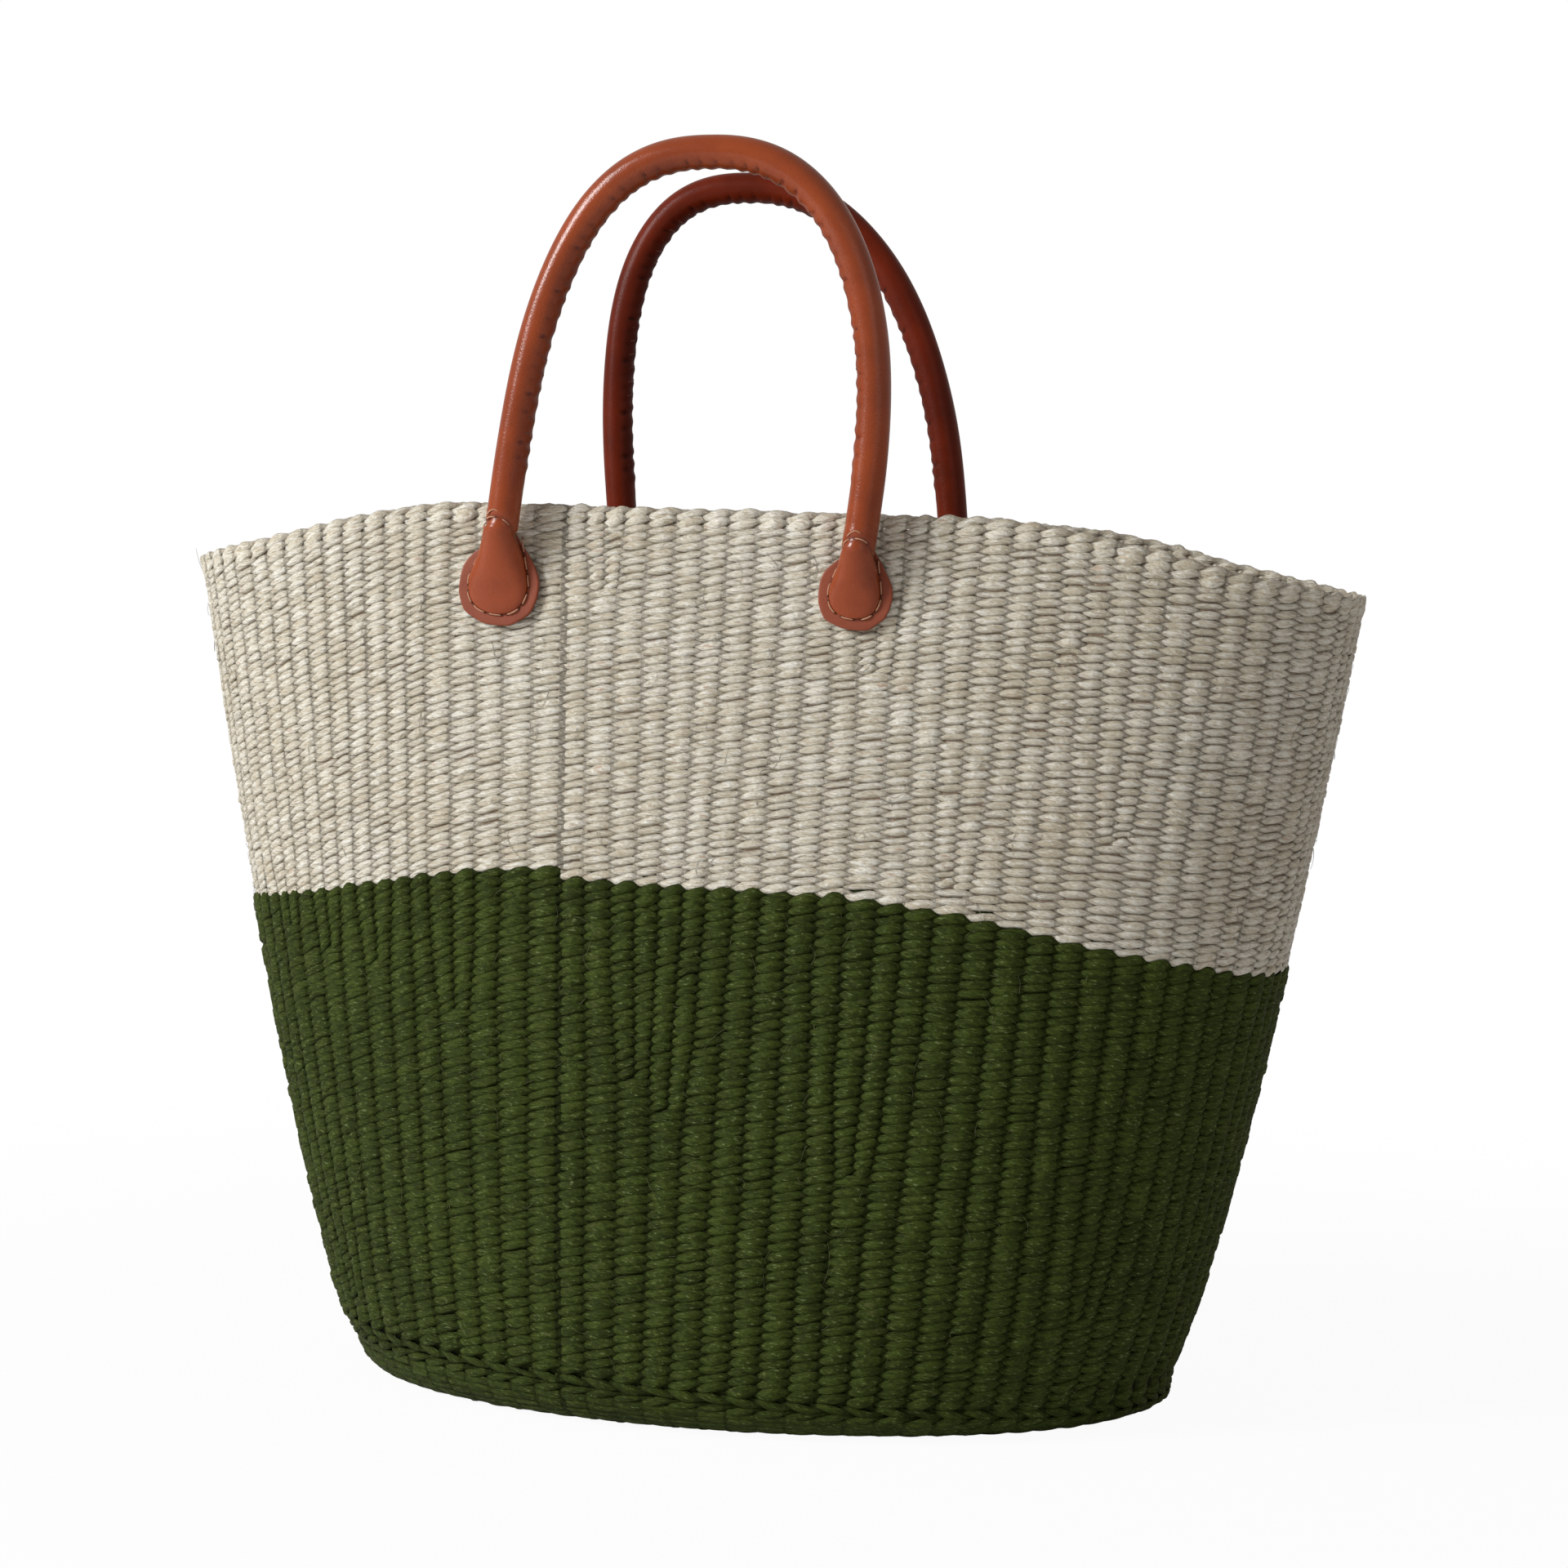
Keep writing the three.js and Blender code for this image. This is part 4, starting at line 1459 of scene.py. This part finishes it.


# %% [markdown]
# ### Sisal yarn
#
# Sisal is long straight fibre with a silky shine, spun loosely. Its fibres run along the yarn,
# so streaks of colour and fine grooves follow the path that each tube stored in its points:
# the distance along it and the side of it. The paler streaks are partly the fibres' own colour
# and partly painted sheen, and sparse bright specks on them are painted glints. Every stitch
# gets its own tone, deep places get a browner colour that is painted shade, and slow clouds
# over the whole bag keep it from looking printed. Dye makes the olive yarn dull and soft, so
# it gets less gloss.

# %% Sisal
def sisal(name, pale, warm, shade, deep_tone_and_hollow_shade, fleck, painted_glint, roughness, gloss):
    material, tree, shader = new_material(name, Specular_IOR_Level=gloss)
    tone, depth = stored(tree, "tone"), stored(tree, "depth")
    apart = (7.0, 3.0, 5.0)  # how far the tones of two stitches move their patterns apart
    shift = add_node(tree, "VectorMath", {"operation": "SCALE"}, Vector=apart, Scale=tone)
    long = add_node(tree, "Mapping", Vector=stored(tree, "yarn", 1), Scale=(0.12, 1.0, 1.0))
    long = add_node(tree, "VectorMath", {"operation": "ADD"}, _0=long, _1=shift)
    fibres = noise(tree, long, 1.3, 3.0)
    hairs = noise(tree, long, 3.6)
    clouds = noise(tree, object_place(tree), 22.0, 3.0)
    flecks = noise(tree, long, 1.1)
    # Paler streaks along the fibres: partly the fibres' own colour and tone, partly painted sheen.
    light = (fibres * 2.2 + hairs * 1.0 + tone * 0.3 + clouds * 0.8 - 1.65).between(0.0, 1.0)
    colour = mix_colours(tree, light, warm, pale)
    colour = mix_colours(tree, (1.0 - hairs).between(0.5, 0.68) * 0.6, colour, shade)
    colour = mix_colours(tree, flecks.between(0.60, 0.72) * tone.between(0.5, 1.0), colour, fleck)
    # Painted glints: sparse bright specks on the fibres.
    colour = mix_colours(tree, hairs.between(0.60, 0.70) * 0.8, colour, painted_glint)
    # Painted shade: the yarn turns browner where it dives between the warps, and the warps are all
    # this colour.
    colour = mix_colours(tree, 1.0 - depth.between(-0.5, 0.5), colour, deep_tone_and_hollow_shade)
    relief = fibres + hairs * 0.4
    wire_surface(tree, shader, colour, roughness + 0.25 * hairs, relief, 1.0, 1.3 * mm)
    print(name, "has", len(tree.nodes), "nodes")
    return material


natural_sisal = sisal(
    "natural sisal",
    pale=(0.87, 0.845, 0.745),
    warm=(0.62, 0.55, 0.41),
    shade=(0.48, 0.385, 0.26),
    deep_tone_and_hollow_shade=(0.33, 0.21, 0.125),
    fleck=(0.56, 0.40, 0.29),
    painted_glint=(0.93, 0.92, 0.87),
    roughness=0.32,
    gloss=0.5,
)
olive_sisal = sisal(
    "olive sisal",
    pale=(0.054, 0.078, 0.011),
    warm=(0.025, 0.037, 0.005),
    shade=(0.020, 0.028, 0.006),
    deep_tone_and_hollow_shade=(0.017, 0.023, 0.006),
    fleck=(0.075, 0.085, 0.022),
    painted_glint=(0.16, 0.20, 0.08),
    roughness=0.50,
    gloss=0.10,
)

stray_sisal = sisal(
    "sun-bleached fibre",
    pale=(0.30, 0.30, 0.15),
    warm=(0.16, 0.18, 0.06),
    shade=(0.10, 0.11, 0.03),
    deep_tone_and_hollow_shade=(0.05, 0.06, 0.02),
    fleck=(0.30, 0.30, 0.15),
    painted_glint=(0.35, 0.35, 0.2),
    roughness=0.5,
    gloss=0.2,
)

# %% [markdown]
# ### Leather
#
# The handles are smooth leather, orange-brown, with a soft gloss. Its colour
# drifts in slow clouds, its grain is a net of fine pores, and painted shade makes the skin
# darker and redder along the seam, in its holes and in the crease under the stitches at each
# neck, which the handle stores as a value in its points. The rear handle gets a darker copy of
# the same leather, which is painted shade.

# %% Leather
def leather(name, light, deep_tone_and_hollow_shade, shade, roughness, gloss):
    material, tree, shader = new_material(name, Specular_IOR_Level=gloss)
    place, dark = object_place(tree), stored(tree, "dark")
    clouds = noise(tree, place, 38.0, 4.0)
    stains = noise(tree, place, 150.0, 3.0)
    pores = add_node(tree, "TexVoronoi", Vector=place, Scale=1500.0)
    grain = noise(tree, place, 900.0, 3.0)
    wrinkles = noise(tree, place, 260.0, roughness=0.5)
    colour = mix_colours(tree, clouds.between(0.3, 0.7), deep_tone_and_hollow_shade, light)
    colour = mix_colours(tree, stains.between(0.55, 0.75) * 0.12, colour, shade)
    # Painted shade: darker and redder along the seam, in its holes and in the pinched crease.
    colour = mix_colours(tree, dark.between(0.1, 0.9) * 0.85, colour, shade)
    roughness = roughness + grain * 0.16 + dark * 0.15
    relief = pores * 0.35 + grain * 0.25 + wrinkles * 0.6
    wire_surface(tree, shader, colour, roughness, relief, 0.22, 0.5 * mm)
    print(name, "has", len(tree.nodes), "nodes")
    return material


front_leather = leather(
    "front handle leather",
    light=(0.33, 0.056, 0.009),
    deep_tone_and_hollow_shade=(0.25, 0.040, 0.007),
    shade=(0.11, 0.013, 0.003),
    roughness=0.17,
    gloss=0.42,
)
# A darker, duller copy of the same leather for the rear handle: painted shade.
rear_leather_shaded_copy = leather(
    "rear handle leather",
    light=(0.165, 0.017, 0.003),
    deep_tone_and_hollow_shade=(0.105, 0.010, 0.002),
    shade=(0.035, 0.004, 0.002),
    roughness=0.28,
    gloss=0.13,
)
patch_leather = leather(
    "patch leather",
    light=(0.31, 0.075, 0.036),
    deep_tone_and_hollow_shade=(0.24, 0.052, 0.022),
    shade=(0.14, 0.026, 0.011),
    roughness=0.42,
    gloss=0.3,
)


# %% Thread, lace and holes
def plain_thread(name, colour, other, roughness):
    material, tree, shader = new_material(name)
    wound = add_node(tree, "Mapping", Vector=stored(tree, "yarn", 1), Scale=(1.4, 1.2, 1.2))
    plies = noise(tree, wound, 1.6, roughness=0.5)
    colour = mix_colours(tree, plies.between(0.35, 0.65), colour, other)
    wire_surface(tree, shader, colour, roughness + 0.1 * plies, plies, 0.5, 0.3 * mm)
    print(name, "has", len(tree.nodes), "nodes")
    return material


sewing_thread = plain_thread("pale waxed thread", (0.66, 0.36, 0.22), (0.42, 0.18, 0.09), 0.45)
lace_cord = plain_thread("brown lace", (0.20, 0.05, 0.02), (0.12, 0.03, 0.012), 0.5)
hole_shade, tree, shader = new_material("needle hole", Roughness=0.8)
pits = noise(tree, object_place(tree), 900.0, roughness=0.5)
hole_colour = mix_colours(tree, pits, (0.050, 0.010, 0.005), (0.09, 0.018, 0.009))
connect(tree, shader.inputs["Base Color"], hole_colour)

# %% Dress the weave
def finish_piece(piece, material, body, replaced=()):
    piece.data.materials.clear()
    piece.data.materials.append(material)
    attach(piece, body)
    if replaced:
        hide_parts(*replaced)


for piece in (*olive_weave, olive_warps):
    finish_piece(piece, olive_sisal, "basket", ["lower_wall_olive"])
for piece in (*natural_weave, natural_warps):
    finish_piece(piece, natural_sisal, "basket", ["upper_wall_natural"])
for piece in (base_edge, base_flat, base_start):
    finish_piece(piece, olive_sisal, "basket", ["woven_base"])
finish_piece(bead_row, olive_sisal, "basket", ["base_bead_row"])
finish_piece(rim_braid, natural_sisal, "basket", ["rim_braid"])
finish_piece(olive_fibres, stray_sisal, "basket")
finish_piece(natural_fibres, natural_sisal, "basket")
print("dressed:", len(olive_weave), "olive and", len(natural_weave), "natural parts of the wall")

# %% [markdown]
# ### Dressing the handles
#
# A handle swings on the bag, but its leather has no hinge. The skin of each handle follows
# the basket up to the rim and the handle above it.

# %% Dress the handles
bend_low, bend_high = 5 * mm, 13 * mm
for name, (skin_piece, skin) in handle_leather.items():
    side = handles[name]["side"]
    skin_piece.data.materials.append(front_leather if name == "front" else rear_leather_shaded_copy)
    x, y = handles[name]["middle"], side * handle_out
    low = (x, y, hinge_height - bend_low)
    high = (x, y, hinge_height + bend_high)
    name + "_handle"
    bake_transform(skin_piece)
    ends = [f"{name}_{leg}_moulded_end" for leg in ("left", "right")]
    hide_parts(f"{name}_handle_cover", f"{name}_handle_core", *ends)
    finish_piece(
        lace_stitches[name], lace_cord, name + "_handle", [f"{name}_handle_lacing"]
    )
    print(name, "handle bends between", round(low[2] / mm), "and", round(high[2] / mm), "mm")
for name, (thread, holes) in sewn.items():
    finish_piece(patches[name], patch_leather, "basket", [name + "_patch"])
    finish_piece(thread, sewing_thread, "basket", [name + "_thread"])
    finish_piece(holes, hole_shade, "basket")

# %% [markdown]
# ## Floor, light and camera
#
# The bag stands on a plain white floor. A large soft lamp on the left of the camera models
# the ribs, a weaker one fills the right side, and the sky adds a plain level of light.

# %% Floor and light
floor_half_size = 12.0
bag_middle = Vector((0.0, 0.0, 0.22))

work = bmesh.new()
bmesh.ops.create_grid(work, x_segments=1, y_segments=1, size=floor_half_size)
floor = make_piece("floor", work)
floor_paint, tree, shader = new_material("floor paint", Roughness=1.0, Specular_IOR_Level=0.0)
shader.inputs["Base Color"].default_value = (0.92, 0.92, 0.92, 1.0)
distance = add_node(tree, "VectorMath", {"operation": "LENGTH"}, 1, _0=object_place(tree))
camera_ray = add_node(tree, "LightPath")
white = add_node(tree, "Emission", Color=(1.0, 1.0, 1.0), Strength=1.0)
glow = camera_ray * lerp(0.95, 1.0, distance.between(0.25, 0.9))
both = add_node(tree, "MixShader", _0=glow, _1=Value(tree, shader.outputs[0]), _2=white)
tree.links.new(both.socket, tree.nodes["Material Output"].inputs["Surface"])
floor.data.materials.append(floor_paint)


def soft_lamp(name, place, size, power):
    """A round lamp that shines on the middle of the bag."""
    lamp = bpy.data.lights.new(name, "AREA")
    lamp.shape = "DISK"
    lamp.size = size
    lamp.energy = power
    holder = bpy.data.objects.new(name, lamp)
    holder.location = place
    aim = bag_middle - holder.location
    holder.rotation_euler = aim.to_track_quat("-Z", "Y").to_euler()
    bpy.context.scene.collection.objects.link(holder)
    print(name, "of", power, "W,", size, "m wide")


# %% Lamps and sky
soft_lamp("key lamp", (-2.1, -1.6, 1.5), size=1.1, power=71.0)
soft_lamp("fill lamp", (1.6, -1.9, 1.0), size=1.6, power=2.5)

world = bpy.data.worlds.new("studio")
world.use_nodes = True
bpy.context.scene.world = world
sky = world.node_tree
for node in list(sky.nodes):
    sky.nodes.remove(node)
sky_light = 0.235
seen = add_node(sky, "LightPath")
mirrored = add_node(sky, "LightPath", outlet="Is Glossy Ray")
backdrop = seen.maths("MAXIMUM", seen, mirrored * 0.4)
strength = backdrop * (1.0 - sky_light) + sky_light
sky_colour = mix_colours(sky, seen, (1.0, 0.93, 0.88), (1.0, 1.0, 1.0))
light = add_node(sky, "Background", Color=sky_colour, Strength=strength)
end = sky.nodes.new("ShaderNodeOutputWorld")
sky.links.new(light.socket, end.inputs["Surface"])

bpy.context.scene.view_settings.view_transform = "Standard"

# %% Camera
camera_data = bpy.data.cameras.new("camera")
camera_data.sensor_width = 36.0
camera_data.lens = 87.45
camera = bpy.data.objects.new("camera", camera_data)
bpy.context.scene.collection.objects.link(camera)
bpy.context.scene.camera = camera
eye = Vector((0.3583, -1.3534, 0.2960))
target = Vector((0.0059, 0.0015, 0.2210))
roll = math.radians(1.09)
look = (target - eye).to_track_quat("-Z", "Y")
camera.location = eye
camera.rotation_euler = (look.to_matrix() @ Matrix.Rotation(roll, 3, "Z")).to_euler()
print("the camera stands", round((eye - target).length, 2), "m from the bag")
